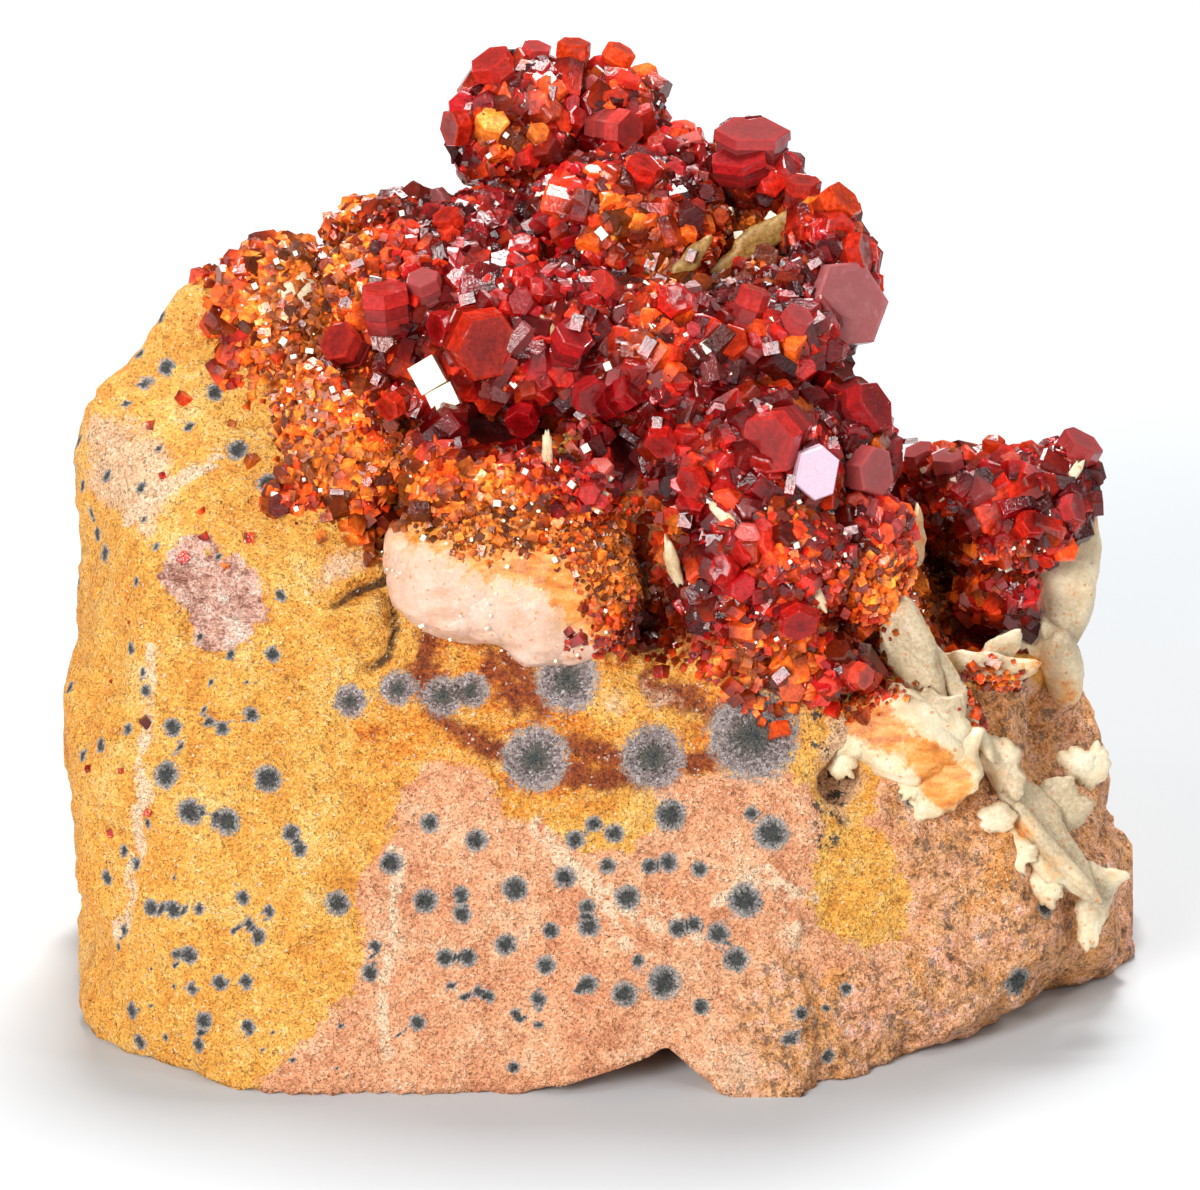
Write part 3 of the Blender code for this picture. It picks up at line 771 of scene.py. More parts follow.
# %% Cracks, holes and nodules
# depth, half width, line
CRACKS = [
    (0.9, 0.42, [(-19.8, -0.8), (-18.5, 0.2), (-16.4, 1.2), (-14.8, 2.0)]),
    (0.9, 0.38, [(-15.4, 0.4), (-15.0, -2.6), (-15.6, -4.6), (-16.9, -5.5)]),
    (0.5, 0.28, [(-18.7, -2.6), (-18.0, -4.4), (-16.9, -5.5)]),
    (0.4, 0.25, [(-25.2, -8.4), (-26.3, -10.4), (-26.0, -13.0), (-26.9, -15.4)]),
    (0.3, 0.22, [(-26.6, -17.0), (-26.0, -20.6), (-26.3, -27.0)]),
    (0.35, 0.22, [(-23.6, -4.0), (-23.1, -6.4), (-21.4, -7.6)]),
    (0.35, 0.22, [(10.4, -29.4), (11.1, -31.6)]),
    (0.4, 0.3, [(14.8, -26.0), (16.4, -24.4), (18.4, -22.4)]),
    (0.35, 0.25, [(2.6, -14.3), (5.2, -13.4)]),
    (0.35, 0.25, [(-16.0, -18.6), (-15.8, -24.0), (-16.4, -30.0)]),
    (0.3, 0.3, [(20.0, -27.4), (26.0, -26.6), (31.0, -28.0)]),
    (0.3, 0.25, [(24.0, -31.0), (29.0, -29.6), (33.0, -27.2)]),
    (0.25, 0.22, [(-18.0, -30.0), (-17.4, -26.0), (-18.4, -21.2)]),
]
# across, up, reach across, reach up, depth
HOLES = [
    (-31.0, 1.6, 1.3, 0.5, 1.1),
    (-29.2, 0.9, 0.8, 0.5, 1.2),
    (-29.6, -1.0, 0.6, 0.9, 1.0),
    (-26.1, -1.3, 0.7, 0.5, 1.1),
    (-27.0, 0.2, 0.4, 0.3, 0.6),
    (-30.4, -2.6, 0.4, 0.4, 0.6),
    (-28.2, 1.9, 0.8, 0.4, -0.5),
    (-27.7, -2.6, 1.0, 0.6, -0.4),
    (17.9, -13.6, 1.2, 1.3, 1.8),
    (18.4, -16.9, 0.6, 0.4, 0.7),
    (-13.8, 0.2, 0.9, 1.4, 0.9),
    (19.4, -23.8, 0.9, 0.4, 0.5),
    (-35.6, 12.0, 0.8, 0.5, 0.6),
    (-36.6, 14.6, 0.5, 0.4, 0.5),
    (22.6, -15.2, 0.9, 0.6, 0.5),
    (33.0, -26.0, 1.4, 0.6, 0.7),
]
SHARD = (14.3, -24.6, 0.35, 1.1, -0.6)
# round nodules on the right rim: across, up, back, reach, height
NODULES = [(39.2, -24.4, 14.0, 1.5, 1.1), (39.4, -20.2, 14.0, 1.5, 0.9), (38.6, -28.0, 9.0, 1.3, 0.8),
           (36.4, -26.6, 4.0, 1.2, 0.6), (33.4, -9.6, -2.0, 1.2, 0.6), (30.4, -12.0, -7.0, 1.0, 0.6)]
print("cracks:", len(CRACKS), "holes:", len(HOLES), "nodules:", len(NODULES))

# %% Relief formula
BARE_STEP = 0.25
SHIFT, SHIFT_CELL = 0.35, 1.6
# cell, height and seed of each layer of roughness
ROUGH_LAYERS = [(6.0, 0.34, 11), (2.2, 0.22, 17), (1.0, 0.12, 21), (0.55, 0.06, 31)]


def terraces(points, cell, seed):
    """Flat steps with short steep walls, as flakes break off: a rounded staircase over noise."""
    level = 3 * rough_noise(points, cell, seed, 2)
    return (np.floor(level) + smooth_step(level - np.floor(level), 0.3, 0.7)) / 3


def relief():
    """Millimetres to move each point outwards.

    It is the roughness, less a bell across each crack and over each hole, plus a bell on each
    nodule, plus a small step at the edge of a zone, less the depth of the hollows.
    """
    lift = sum(height * rough_noise(rock_points, cell, seed, 2) for cell, height, seed in ROUGH_LAYERS)
    lift += (0.25 + 0.55 * mottled_zone) * terraces(rock_points, 4.5, 47)
    lift += mottled_zone * (0.4 * rough_noise(rock_points, 1.8, 41) + 0.4 * cell_noise(rock_points, 4, 43))
    shift_across = across + SHIFT * cell_noise(rock_points, SHIFT_CELL, 51)
    shift_up = up + SHIFT * cell_noise(rock_points, SHIFT_CELL, 52)
    seen = facing * in_front
    for depth, half_width, line in CRACKS:
        lift -= seen * depth * np.exp(-(line_distance(shift_across, shift_up, line) / half_width) ** 2)
    for x, y, wide, high, depth in HOLES + [SHARD]:
        bell = ((shift_across - x) / wide) ** 2 + ((shift_up - y) / high) ** 2
        lift -= seen * depth * np.exp(-bell ** 1.5)
    for x, y, z, reach, height in NODULES:
        far = ((rock_points - from_front(x, y, z)) ** 2).sum(axis=1)
        lift += height * np.exp(-far / reach ** 2)
    lift += BARE_STEP * seen * (smooth_step(pink_zone, 0.4, 0.6) - 2 * smooth_step(lilac_zone, 0.4, 0.6))
    lift += 0.5 * seen * smooth_step(lilac_zone, 0.5, 0.9) * rough_noise(rock_points, 1.2, 45)
    lift -= 0.3 * seen * smooth_step(vein_zone, 0.3, 0.9) * (pink_zone < 0.3)
    return lift - seen * hollow_depth(rock_points)


lift = relief()
print(f"relief from {lift.min():.1f} to {lift.max():.1f} mm")

# %% [markdown]
# ## Cut to rest
# The block rests on its flat underside.  Points that fall under the table are drawn back to it
# along their line to the heart, which keeps the sides smooth.  A low gap under the front edge is
# left open in the same way.

# %% Settle the block
# places across and the height of the gap there
GAP_PLACES = (-6.0, 0.0, 5.0, 9.0)
GAP_HEIGHTS = (0.0, 1.4, 3.0, 0.0)
FULL_CRACK = 0.7


def gap_under(points):
    """Height of the gap under the front edge: straight slopes across, gone 14 mm behind the edge."""
    return np.interp(points[:, 0], GAP_PLACES, GAP_HEIGHTS) * smooth_step(-points[:, 1], 12, 17)


def settle(points, floor=0.0):
    """Draw points that lie under FLOOR back along their line to the heart, onto it."""
    share = (ROCK_HEART[2] - floor) / (ROCK_HEART[2] - np.minimum(points[:, 2], floor))
    return ROCK_HEART + (points - ROCK_HEART) * share[:, None]


rock_low, rock_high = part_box("matrix_rock")
near_crack = np.max([
    min(depth / FULL_CRACK, 1) * np.clip(1 - 0.5 * line_distance(across, up, line) / width, 0, 1)
    for depth, width, line in CRACKS], axis=0)
crack_zone = facing * in_front * near_crack
# painted shade: how much the rock is coloured darker in the hollows under the crystals
painted_hollow_share = hollow_shade(rock_points) * facing * in_front
rock_points = rock_points + rock_normals * lift[:, None]
rock_points = settle(rock_points, gap_under(rock_points))
rock_points = np.clip(rock_points, np.array(rock_low) / MM, np.array(rock_high) / MM)
rock_normals = surface_normals(rock_points, rock_triangles)
across, up, back = to_front(rock_points)
print("block box:", rock_points.min(axis=0).round(1), rock_points.max(axis=0).round(1))

# %% [markdown]
# ## Rosettes
# Dark manganese rosettes dot the rock, each with a dense heart and a fringe of fine rays.  A spot
# painted point by point would be as coarse as the mesh.  Instead each point stores its offset
# from the nearest rosette's middle in units of its radius, and the finish draws the circle from
# that, so the edge stays sharp.  A third number rises fast outside the rosette, so that halfway
# between two of them the stored offset never passes through zero.

# %% Rosettes
BIG_ROSETTES = [(-4.8, -12, 2.2), (4, -12, 2.1), (11.5, -10.4, 3.0), (-2.5, -6.3, 2.1),
                (-11.7, -7.5, 1.4), (-9.5, -7, 1.2), (-15, -7, 1.2), (-18.6, -8, 1.1)]
ROSETTES = [
    (-10.5, -2.8, .6), (-32.1, -13.4, 1), (-24.8, -13.5, 1), (-30.7, -16, 1), (-27.8, -16.8, 1),
    (-22.8, -17.8, .7), (-22.5, -18.9, .6), (-31.7, -9.8, .7), (-31.3, -11, .4), (-29.4, -8.5, .4),
    (-29.2, -9.2, .4), (-27.9, -9.8, .6), (-26, -8.6, .6), (-26.2, -6.8, .3), (-29, -6.3, .4),
    (-27.4, -4.6, .5), (-24.2, -4.4, .6), (-31.9, -21.1, .3), (-33.3, -23.1, .7), (-31.9, -23.4, .7),
    (-29.9, -23.2, .5), (-26.4, -22.3, .6), (-24.7, -23.7, .5), (-25.9, -24.4, .5), (-25.5, -25.2, .7),
    (-27.4, -25, .4), (-19.7, -23.1, .9), (-31.5, -26.6, .4), (-30.5, -27, .7), (-31.5, -27.7, .3),
    (-33.3, -27.6, .3), (-28.5, -28.8, .6), (-26.3, -28.8, .6), (-30.2, -29.3, .5), (-31.6, -29.3, .3),
    (-34.7, -31, .7), (-33.2, -30.5, .3), (-29.4, -31.4, .7), (-26.3, -32, .6), (-32.4, -32.8, .4),
    (-34.4, -33.4, .6), (-29.9, -33.5, .6), (-24.1, -32.6, .3), (-25.1, -33.9, .3), (-22.9, -34.9, .4),
    (-19.5, -35.2, .3), (-19.2, -32, .4), (-17.2, -28.1, .7), (-16.6, -26, .5), (-15.5, -20, .8),
    (-12.6, -17, .7), (-9.3, -18.2, .8), (-12.9, -22.7, .9), (-10.3, -22.3, .6), (-10.2, -23.6, .7),
    (-6.4, -21.9, .9), (-2.6, -21.1, .8), (-1.8, -18.1, .7), (-0.5, -17, .6), (1, -17.8, .7),
    (0.6, -20, .6), (3.8, -20.1, .6), (5.1, -20, .7), (7.3, -20.5, .6), (5.3, -16.4, 1.1),
    (12.7, -17.7, 1.2), (10.9, -22.5, 1.2), (2, -22.6, .9), (-0.9, -23.4, .6), (-0.9, -24.6, .8),
    (-3.6, -24.7, .6), (-7, -26, .8), (-9.8, -27, .7), (-11.6, -27.2, .7), (-4, -27.5, .7),
    (-11.1, -28.8, .4), (-0.8, -28.7, .7), (-1.7, -29.5, .4), (-9, -29.6, .5), (-8.3, -29.9, .5),
    (-10.2, -30, .4), (-6.3, -30.9, .4), (-4.6, -30.3, .6), (-6, -31.8, .4), (-4.5, -32, .4),
    (-13.4, -31.8, .6), (-15.1, -33, .3), (-6.5, -35.1, .5), (1.8, -29.7, .9), (4.8, -28.8, 1.2),
    (5.8, -25, .7), (7, -24.3, .6), (8.7, -25, .8), (10.2, -27.2, .9), (2.9, -27, .5), (7.5, -30.8, .6),
    (15, -31.3, .6), (18.4, -29.5, .5), (16.7, -31, .4), (14.2, -33.4, .7), (17, -34, .6),
    (31.2, -28.9, 1.1), (33.2, -23.3, .9), (23.5, -14.8, 1.2), (11.3, -16.2, .5), (-38.4, -11.7, .5),
    (-37.2, -11.4, .6), (-35.2, -9.7, .5), (-33.5, -7.2, .5), (-34.2, -5.7, .4), (-34.9, -4, .5),
    (-39.5, -7, .5), (-35.6, -19, .5), (-34.3, -20, .5), (-33.8, -17, .4), (-36.7, -21.2, .6),
    (-36.7, -23.5, .5), (-35.2, -25, .5), (-35.8, -26.3, .4), (-37.7, 6, .5), (-37.3, 4.5, .6),
    (-36.8, 3.2, .7), (-38.3, 8, .5), (-36.8, 9, .5), (-34.3, 8, .5), (-28.5, 15, .7), (-27, 10.7, .8),
    (-24.8, 8.3, .8), (-30.7, 12.3, .5), (-33, 11.1, .4), (-34, 16, .6), (-32, 17, .7),
    (-35.5, 14.3, .5), (-34, 18, .5), (-32.8, 20.7, .6), (-28.7, 21.8, .5), (-38.9, 11.5, .5),
    (-24, 0, .5), (-28.3, 2.7, .4), (-30, -2.8, .4), (-33.8, 5.4, .4), (-33.2, 3.6, .4), (-34.6, 1, .4),
]
print("rosettes on the front:", len(BIG_ROSETTES) + len(ROSETTES))

# %% Nearest rosette
BACK_ROSETTES = 170
BACK_TRIES = 4000
BACK_SPACING = 2.6
BACK_RADII = (0.35, 1.05)
RISE_OUTSIDE = 3.0
FAR_OFF = 9


def seen_point(x, y, across, up, normals):
    """Index of the point nearest to a place of the front frame, of those that face the viewer."""
    miss = (across - x) ** 2 + (up - y) ** 2 + np.where(normals @ AWAY < 0, 0, 1e6)
    return int(miss.argmin())


def back_rosettes():
    """Rosettes on the sides that the viewer doesn't see: random places, kept apart."""
    rng = np.random.default_rng(3)
    hidden = np.flatnonzero((rock_normals @ -AWAY < 0.05) & (rock_points[:, 2] > 0.5))
    chosen = []
    for index in rng.permutation(hidden)[:BACK_TRIES]:
        spaced = all(np.linalg.norm(rock_points[index] - rock_points[k]) > BACK_SPACING for k in chosen)
        if spaced and len(chosen) < BACK_ROSETTES:
            chosen.append(index)
    return chosen, rng.uniform(*BACK_RADII, len(chosen))


def store_rosettes():
    """For each point: two offsets from its nearest rosette in radii, and the rise outside it.

    The two directions of a rosette are its normal crossed with the upright and with the first.
    """
    hidden, hidden_radii = back_rosettes()
    seen = [seen_point(x, y, across, up, rock_normals) for x, y, _ in BIG_ROSETTES + ROSETTES]
    places = np.array(seen + hidden)
    radii = np.concatenate([[r for _, _, r in BIG_ROSETTES + ROSETTES], hidden_radii])
    nearest = np.zeros(len(rock_points), int)
    least = np.full(len(rock_points), np.inf)
    for number, (place, radius) in enumerate(zip(places, radii)):
        far = np.linalg.norm(rock_points - rock_points[place], axis=1) / radius
        nearest = np.where(far < least, number, nearest)
        least = np.minimum(far, least)
    normals = rock_normals[places]
    first = np.cross(normals, [0, 0, 1.0])
    first /= np.linalg.norm(first, axis=1, keepdims=True)
    second = np.cross(normals, first)
    offset = (rock_points - rock_points[places[nearest]]) / radii[nearest][:, None]
    flat = np.stack([(offset * first[nearest]).sum(axis=1), (offset * second[nearest]).sum(axis=1)])
    rise = RISE_OUTSIDE * np.maximum(least - 1, 0)
    big = (nearest < len(BIG_ROSETTES)) & (least < 3)
    return np.stack([*np.clip(flat, -FAR_OFF, FAR_OFF), np.minimum(rise, FAR_OFF)], axis=-1), big


rosette, near_big = store_rosettes()
print("points on rosettes:", int((np.linalg.norm(rosette, axis=1) < 1).sum()))

# %% [markdown]
# ## Colours of the rock
# Sandy rock is never one colour.  Each zone has a ramp of tones, from its shadows to its lights,
# and noise picks the tone at each place.

# %% Rock tones
OCHRE = ((0.0, (0.66, 0.23, 0.025)), (0.35, (0.88, 0.37, 0.05)), (0.6, (0.95, 0.48, 0.09)),
         (1.0, (0.97, 0.63, 0.24)))
ORANGE_OCHRE = ((0.0, (0.80, 0.25, 0.025)), (0.5, (0.96, 0.43, 0.06)), (1.0, (0.97, 0.56, 0.18)))
SALMON = ((0.0, (0.54, 0.17, 0.08)), (0.35, (0.82, 0.34, 0.165)), (0.6, (0.92, 0.44, 0.23)),
          (1.0, (0.96, 0.62, 0.40)))
RUSTY = ((0.1, (0.34, 0.04, 0.002)), (0.36, (0.72, 0.19, 0.01)), (0.55, (0.90, 0.36, 0.04)),
         (0.9, (0.95, 0.58, 0.20)))
EARTHY = ((0.15, (0.26, 0.11, 0.04)), (0.36, (0.76, 0.34, 0.13)), (0.55, (0.93, 0.48, 0.22)),
          (0.72, (0.96, 0.48, 0.32)), (0.9, (0.96, 0.74, 0.50)))
BLUSH = ((0.38, (1.0, 0.86, 0.55)), (0.5, (1.0, 1.0, 1.0)), (0.62, (1.04, 0.98, 1.15)))
STREAK_BROWN = ((0.35, (0.12, 0.008, 0.001)), (0.65, (0.42, 0.07, 0.004)))
PALE_SAND = ((0.3, (0.78, 0.42, 0.24)), (0.7, (0.92, 0.66, 0.44)))
LILAC_TONES = ((0.25, (0.34, 0.13, 0.09)), (0.5, (0.84, 0.47, 0.36)), (0.8, (0.94, 0.74, 0.62)))
RED_STAIN = ((0.3, (0.20, 0.035, 0.008)), (0.6, (0.55, 0.14, 0.02)), (0.8, (0.72, 0.28, 0.06)))
VEIN_CREAM = (0.95, 0.66, 0.44)
CRACK_BLACK = (0.07, 0.022, 0.008)
# painted shade: the brown laid on the rock in the hollows
HOLLOW_SHADE_BROWN = (0.21, 0.055, 0.015)
print("tones of the ground:", sum(len(tones) for tones in (OCHRE, ORANGE_OCHRE, SALMON, RUSTY, EARTHY)))

# %% [markdown]
# ## Zones of the finish
# Each zone is laid over the last, like washes of paint.  Its stored number is 0.5 on the outline,
# so noise added to it before a steep step breaks the border into islands and bays.

# %% Ground colours
def blend(f, first, first_share, second, second_share):
    """Two noises about 0.5, weighted, still about 0.5."""
    total = f.math("MULTIPLY_ADD", first, first_share, f.times(second, second_share))
    return f.plus(total, 0.5 - 0.5 * (first_share + second_share))


def broken(f, edge, zone, amount=0.9, low=0.46, high=0.54):
    """Share of a zone, its border broken: a step on zone + amount * noise."""
    return f.step(f.plus(zone, f.times(edge, amount)), low, high)


def ground_colours(f, clouds, patches, fine, edge, body):
    """Ochre, then pink, mottled earth and rust, each inside its own outline."""
    pink, rust, *_ = f.grown("ground")
    mottled, *_ = f.grown("wear")
    side, *_ = f.grown("side")
    colour = f.mix(side, f.ramp(body, *OCHRE), f.ramp(body, *ORANGE_OCHRE))
    colour = f.mix(broken(f, edge, pink, 1.2, 0.44, 0.58), colour, f.ramp(body, *SALMON))
    earth = f.ramp(blend(f, patches, 1.5, f.noise(0.7, 4, 0.75), 1.3), *EARTHY)
    blushing = f.mix(1.0, earth, f.ramp(clouds, *BLUSH), "MULTIPLY")
    colour = f.mix(broken(f, edge, mottled, 2.2, 0.45, 0.95), colour, blushing)
    layered = f.vector_math("MULTIPLY", f.place, (0.5, 0.5, 1.1))
    rusty = blend(f, f.noise(1.7, 5, 0.7, layered), 1.6, fine, 0.9)
    return f.mix(broken(f, edge, rust, 1.2, 0.32, 0.56), colour, f.ramp(rusty, *RUSTY))


# %% Marks over the ground
def marks_over(f, colour, patches, fine, edge, body):
    """Streaks, pale sand, lilac clay, veins, cracks and the red stain under the crystals."""
    *_, pale, _ = f.grown("ground")
    dark, vein, lilac, _ = f.grown("marks")
    crust, _, crack, _ = f.grown("cover")
    dark_share = f.times(broken(f, edge, dark, 1.6, 0.28, 0.85), 0.95)
    colour = f.mix(dark_share, colour, f.ramp(fine, *STREAK_BROWN))
    pale_share = f.times(broken(f, edge, pale, 1.6, 0.4, 0.8), 0.85)
    colour = f.mix(pale_share, colour, f.ramp(fine, *PALE_SAND))
    colour = f.mix(broken(f, edge, lilac, 1.1), colour, f.ramp(body, *LILAC_TONES))
    ragged = f.times(broken(f, edge, vein, 1.0, 0.35, 0.65), f.step(patches, 0.34, 0.5))
    colour = f.mix(f.times(ragged, 0.88), colour, VEIN_CREAM)
    crack_share = f.times(broken(f, edge, crack, 1.0, 0.45, 0.85), 0.92)
    colour = f.mix(crack_share, colour, CRACK_BLACK)
    return f.mix(broken(f, edge, crust, 1.6, 0.45, 0.75), colour, f.ramp(patches, *RED_STAIN))


# %% [markdown]
# ## Sand
# Each grain is about 0.15 mm and has random numbers of its own: one sets how light it is, the
# others make a few of them dark pits or pale specks, which are painted glints.

# %% Sand
GRAIN = 0.15
GRAIN_LIGHT = ((0.0, (0.55, 0.48, 0.38)), (0.3, (0.92, 0.90, 0.86)), (0.8, (1.08, 1.08, 1.08)),
               (1.0, (1.3, 1.4, 1.5)))
PIT_BROWN = (0.12, 0.05, 0.02)
# painted glint colour of a few grains
PAINTED_GLINT_CREAM = (0.95, 0.85, 0.70)
SOOT_BLACK = (0.07, 0.06, 0.05)


def sand_over(f, colour):
    """The colour grain by grain, with the relief of the grains and their lightness."""
    mottled, speckled, *_ = f.grown("wear")
    near, light, pit, glint_pick = f.grains(GRAIN)
    colour = f.mix(0.8, colour, f.ramp(light, *GRAIN_LIGHT), "MULTIPLY")
    colour = f.mix(f.times(f.step(pit, 0.97, 0.98), 0.55), colour, PIT_BROWN)
    # painted glints: a few grains coloured pale cream as if they caught the light
    colour = f.mix(f.times(f.step(glint_pick, 0.975, 0.985), 0.5), colour, PAINTED_GLINT_CREAM)
    sooty = f.math("MAXIMUM", f.step(speckled, 0.4, 0.8), f.times(f.step(mottled, 0.4, 0.9), 0.6))
    soot = f.times(f.step(f.noise(1.0, 4, 0.75), 0.54, 0.60), sooty)
    return f.mix(soot, colour, SOOT_BLACK), near, light


# %% [markdown]
# ## Rosettes of the finish
# The stored offset is a place inside the rosette: its length is the distance from the middle in
# radii, and its direction picks a ray.  Noise on the length makes the rim ragged.  Small rosettes
# are dark to the rim, big ones have a dark heart in a ring of grey grains.

# %% Rosettes of the finish
HALO_GREY = (0.36, 0.28, 0.23)
RIM_GREY = (0.56, 0.47, 0.44)
SMALL_TONES = ((0.0, (0.07, 0.07, 0.06)), (0.2, (0.032, 0.034, 0.032)), (0.34, (0.06, 0.058, 0.052)),
               (0.48, (0.19, 0.175, 0.165)), (0.75, (0.46, 0.41, 0.38)))
SUGAR_TONES = ((0.0, (0.13, 0.09, 0.085)), (0.5, (0.27, 0.20, 0.185)), (0.85, (0.38, 0.31, 0.30)),
               (1.0, (0.60, 0.53, 0.52)))
HEART_TONES = ((0.0, (0.035, 0.045, 0.045)), (0.18, (0.055, 0.06, 0.055)), (0.25, (0.17, 0.145, 0.11)),
               (0.34, (0.06, 0.06, 0.055)), (0.46, (0.12, 0.105, 0.085)))


def rosettes_over(f, colour, light):
    """Halo, small rosettes and big rosettes, laid on by the ragged distance from the middle."""
    *_, offset = f.grown("rosette")
    _, _, big, _ = f.grown("wear")
    rays = f.noise(0.22, 2, 0.6, f.vector_math("NORMALIZE", offset))
    wobble = f.times(f.minus(f.noise(0.35, 3, 0.75), 0.5), 1.0)
    ray_wobble = f.times(f.minus(rays, 0.5), 1.0)
    far = f.plus(f.vector_math("LENGTH", offset), f.plus(wobble, ray_wobble))
    speckle = f.times(f.minus(light, 0.5), 0.5)
    halo = f.step(f.plus(far, speckle), 1.5, 1.1)
    colour = f.mix(f.times(halo, 0.6), colour, HALO_GREY)
    small = f.ramp(f.math("MULTIPLY_ADD", speckle, 0.5, f.times(far, 0.7)), *SMALL_TONES)
    colour = f.mix(f.step(f.math("MULTIPLY_ADD", speckle, 0.6, far), 1.12, 0.96), colour, small)
    rim = f.times(f.step(far, 0.80, 0.94), 0.5)
    ring = f.mix(rim, f.ramp(light, *SUGAR_TONES), RIM_GREY)
    rosette_colour = f.mix(f.step(far, 0.40, 0.56), f.ramp(far, *HEART_TONES), ring)
    return f.mix(f.times(f.step(far, 1.06, 0.92), f.step(big, 0.4, 0.6)), colour, rosette_colour)


# %% [markdown]
# ## The finish of the rock
# The layers are put together here.  The relief of the grains goes in as bump, since they are a
# tenth of a millimetre across, from the finest on the inside to the broad lumps on the outside.

# %% Rock finish
def rock_finish():
    """Ground, marks, sand and rosettes, with painted shade in the hollows, and four layers of bump."""
    f = Finish("spotted_rock")
    clouds = f.noise(4.5, 3, 0.6)
    patches = f.noise(1.3, 3, 0.65)
    fine = f.noise(0.4, 3, 0.7)
    edge = f.minus(f.noise(1.8, 5, 0.7), 0.5)
    body = blend(f, blend(f, clouds, 1.3, patches, 1.1), 1.0, fine, 0.9)
    colour = ground_colours(f, clouds, patches, fine, edge, body)
    colour = marks_over(f, colour, patches, fine, edge, body)
    colour, near, light = sand_over(f, colour)
    colour = rosettes_over(f, colour, light)
    _, painted_hollow_share, *_ = f.grown("cover")
    # painted shade in the hollows
    colour = f.mix(f.step(painted_hollow_share, 0.15, 0.8), colour, HOLLOW_SHADE_BROWN)
    grain = f.bump(near, 0.7, 0.12)
    glint = f.bump(f.facets(0.2, 0.9), 1.0, 1.0, grain)
    sand = f.bump(fine, 0.8, 0.35, glint)
    lumps = f.bump(f.plus(patches, clouds), 0.8, 0.7, sand)
    return f.set(Base_Color=colour, Roughness=0.72, Normal=lumps)


rock = make_piece("matrix_rock_skin", rock_points, rock_triangles, rock_finish(), attributes={
    "ground": np.stack([pink_zone, rust_zone, pale_zone], axis=-1),
    "marks": np.stack([dark_zone, vein_zone, lilac_zone], axis=-1),
    "wear": np.stack([mottled_zone, speckled_zone, near_big.astype(float)], axis=-1),
    "cover": np.stack([crust_zone, painted_hollow_share, crack_zone], axis=-1),
    "side": np.outer(side_zone, (1, 0, 0)),
    "rosette": rosette,
})
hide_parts("matrix_rock")

# %% [markdown]
# ## Barite
# Barite grows as curved plates with thin ragged rims, and as smooth swollen mounds.  Both start
# as a ball: flattening the ball's middle ring outwards makes a plate with a round rim, noise round
# the rim makes it ragged, and a bend along its length curls it.

# %% Barite places
# across, up, back, half length, half width, half thickness, spin, tilt
MOUND_LOBES = [
    (-9.5, 1.4, -17.2, 6.4, 4.8, 2.8, 8, 12),
    (-4.2, 0.4, -17.6, 5.4, 5.6, 3.1, 15, 8),
    (-1.6, -2.6, -17.6, 3.2, 2.4, 1.9, 20, 5),
    (-13.0, 3.2, -16.4, 3.2, 3.0, 2.2, 0, 15),
    (-6.0, 5.6, -17.0, 6.6, 3.2, 3.0, 4, 20),
    (-7.2, -0.9, -17.5, 4.8, 3.0, 2.4, -14, 8),
    (0.4, 0.4, -17.0, 2.4, 4.6, 2.2, 0, 5),
]
SPRAY_BLADES = [
    (22.4, -10.6, -13.8, 4.6, 3.4, 1.6, -20, 5),
    (25.8, -13.0, -13.2, 2.6, 3.6, 1.5, -20, 0),
    (24.6, -9.6, -13.2, 3.4, 2.6, 1.5, -50, 0),
    (18.8, -10.0, -14.2, 2.6, 2.4, 1.4, 10, 0),
    (18.0, -12.6, -13.8, 1.2, 1.0, 0.7, -30, 0),
    (23.4, -14.0, -13.6, 1.4, 1.0, 0.8, 40, 0),
    (23.0, -3.6, -13.0, 4.4, 2.0, 1.0, -66, 30),
    (26.0, -7.2, -11.6, 5.4, 1.4, 0.8, -58, 55),
    (28.8, -5.4, -9.6, 3.6, 1.9, 0.7, -8, 55),
    (29.6, -4.4, -8.8, 2.4, 1.2, 0.5, 40, 35),
    (32.0, -17.0, -8.4, 6.4, 2.4, 0.8, -52, -32),
    (30.0, -12.6, -10.6, 2.6, 1.4, 0.7, -55, 10),
    (32.6, -17.8, -10.0, 5.4, 0.9, 0.6, -50, 62),
    (34.0, -15.8, -6.8, 2.6, 1.8, 0.7, 30, 15),
    (36.4, -12.9, -5.6, 1.9, 1.2, 0.7, 60, 15),
    (30.6, -19.0, -10.0, 2.2, 1.8, 0.8, -15, 5),
    (33.2, -21.6, -8.4, 1.9, 1.3, 0.7, -70, 5),
    (29.4, -16.6, -11.0, 1.4, 1.2, 0.6, 30, 0),
    (36.2, -21.0, -5.9, 3.0, 1.5, 0.7, -10, 35),
    (36.6, -23.4, -5.4, 2.8, 1.3, 0.7, 80, 20),
    (35.8, -12.6, -5.6, 1.6, 1.3, 0.8, -20, 20),
]
CRESCENT_BLADES = [
    (34.3, 1.4, 3.0, 2.9, 6.4, 1.0, -12, 0),
    (32.4, -4.4, 1.6, 2.6, 3.4, 1.0, 35, 12),
    (34.4, -5.4, 0.8, 1.6, 3.2, 0.9, 10, 20),
    (30.4, 1.6, 4.8, 5.0, 5.0, 1.1, 0, 24),
]
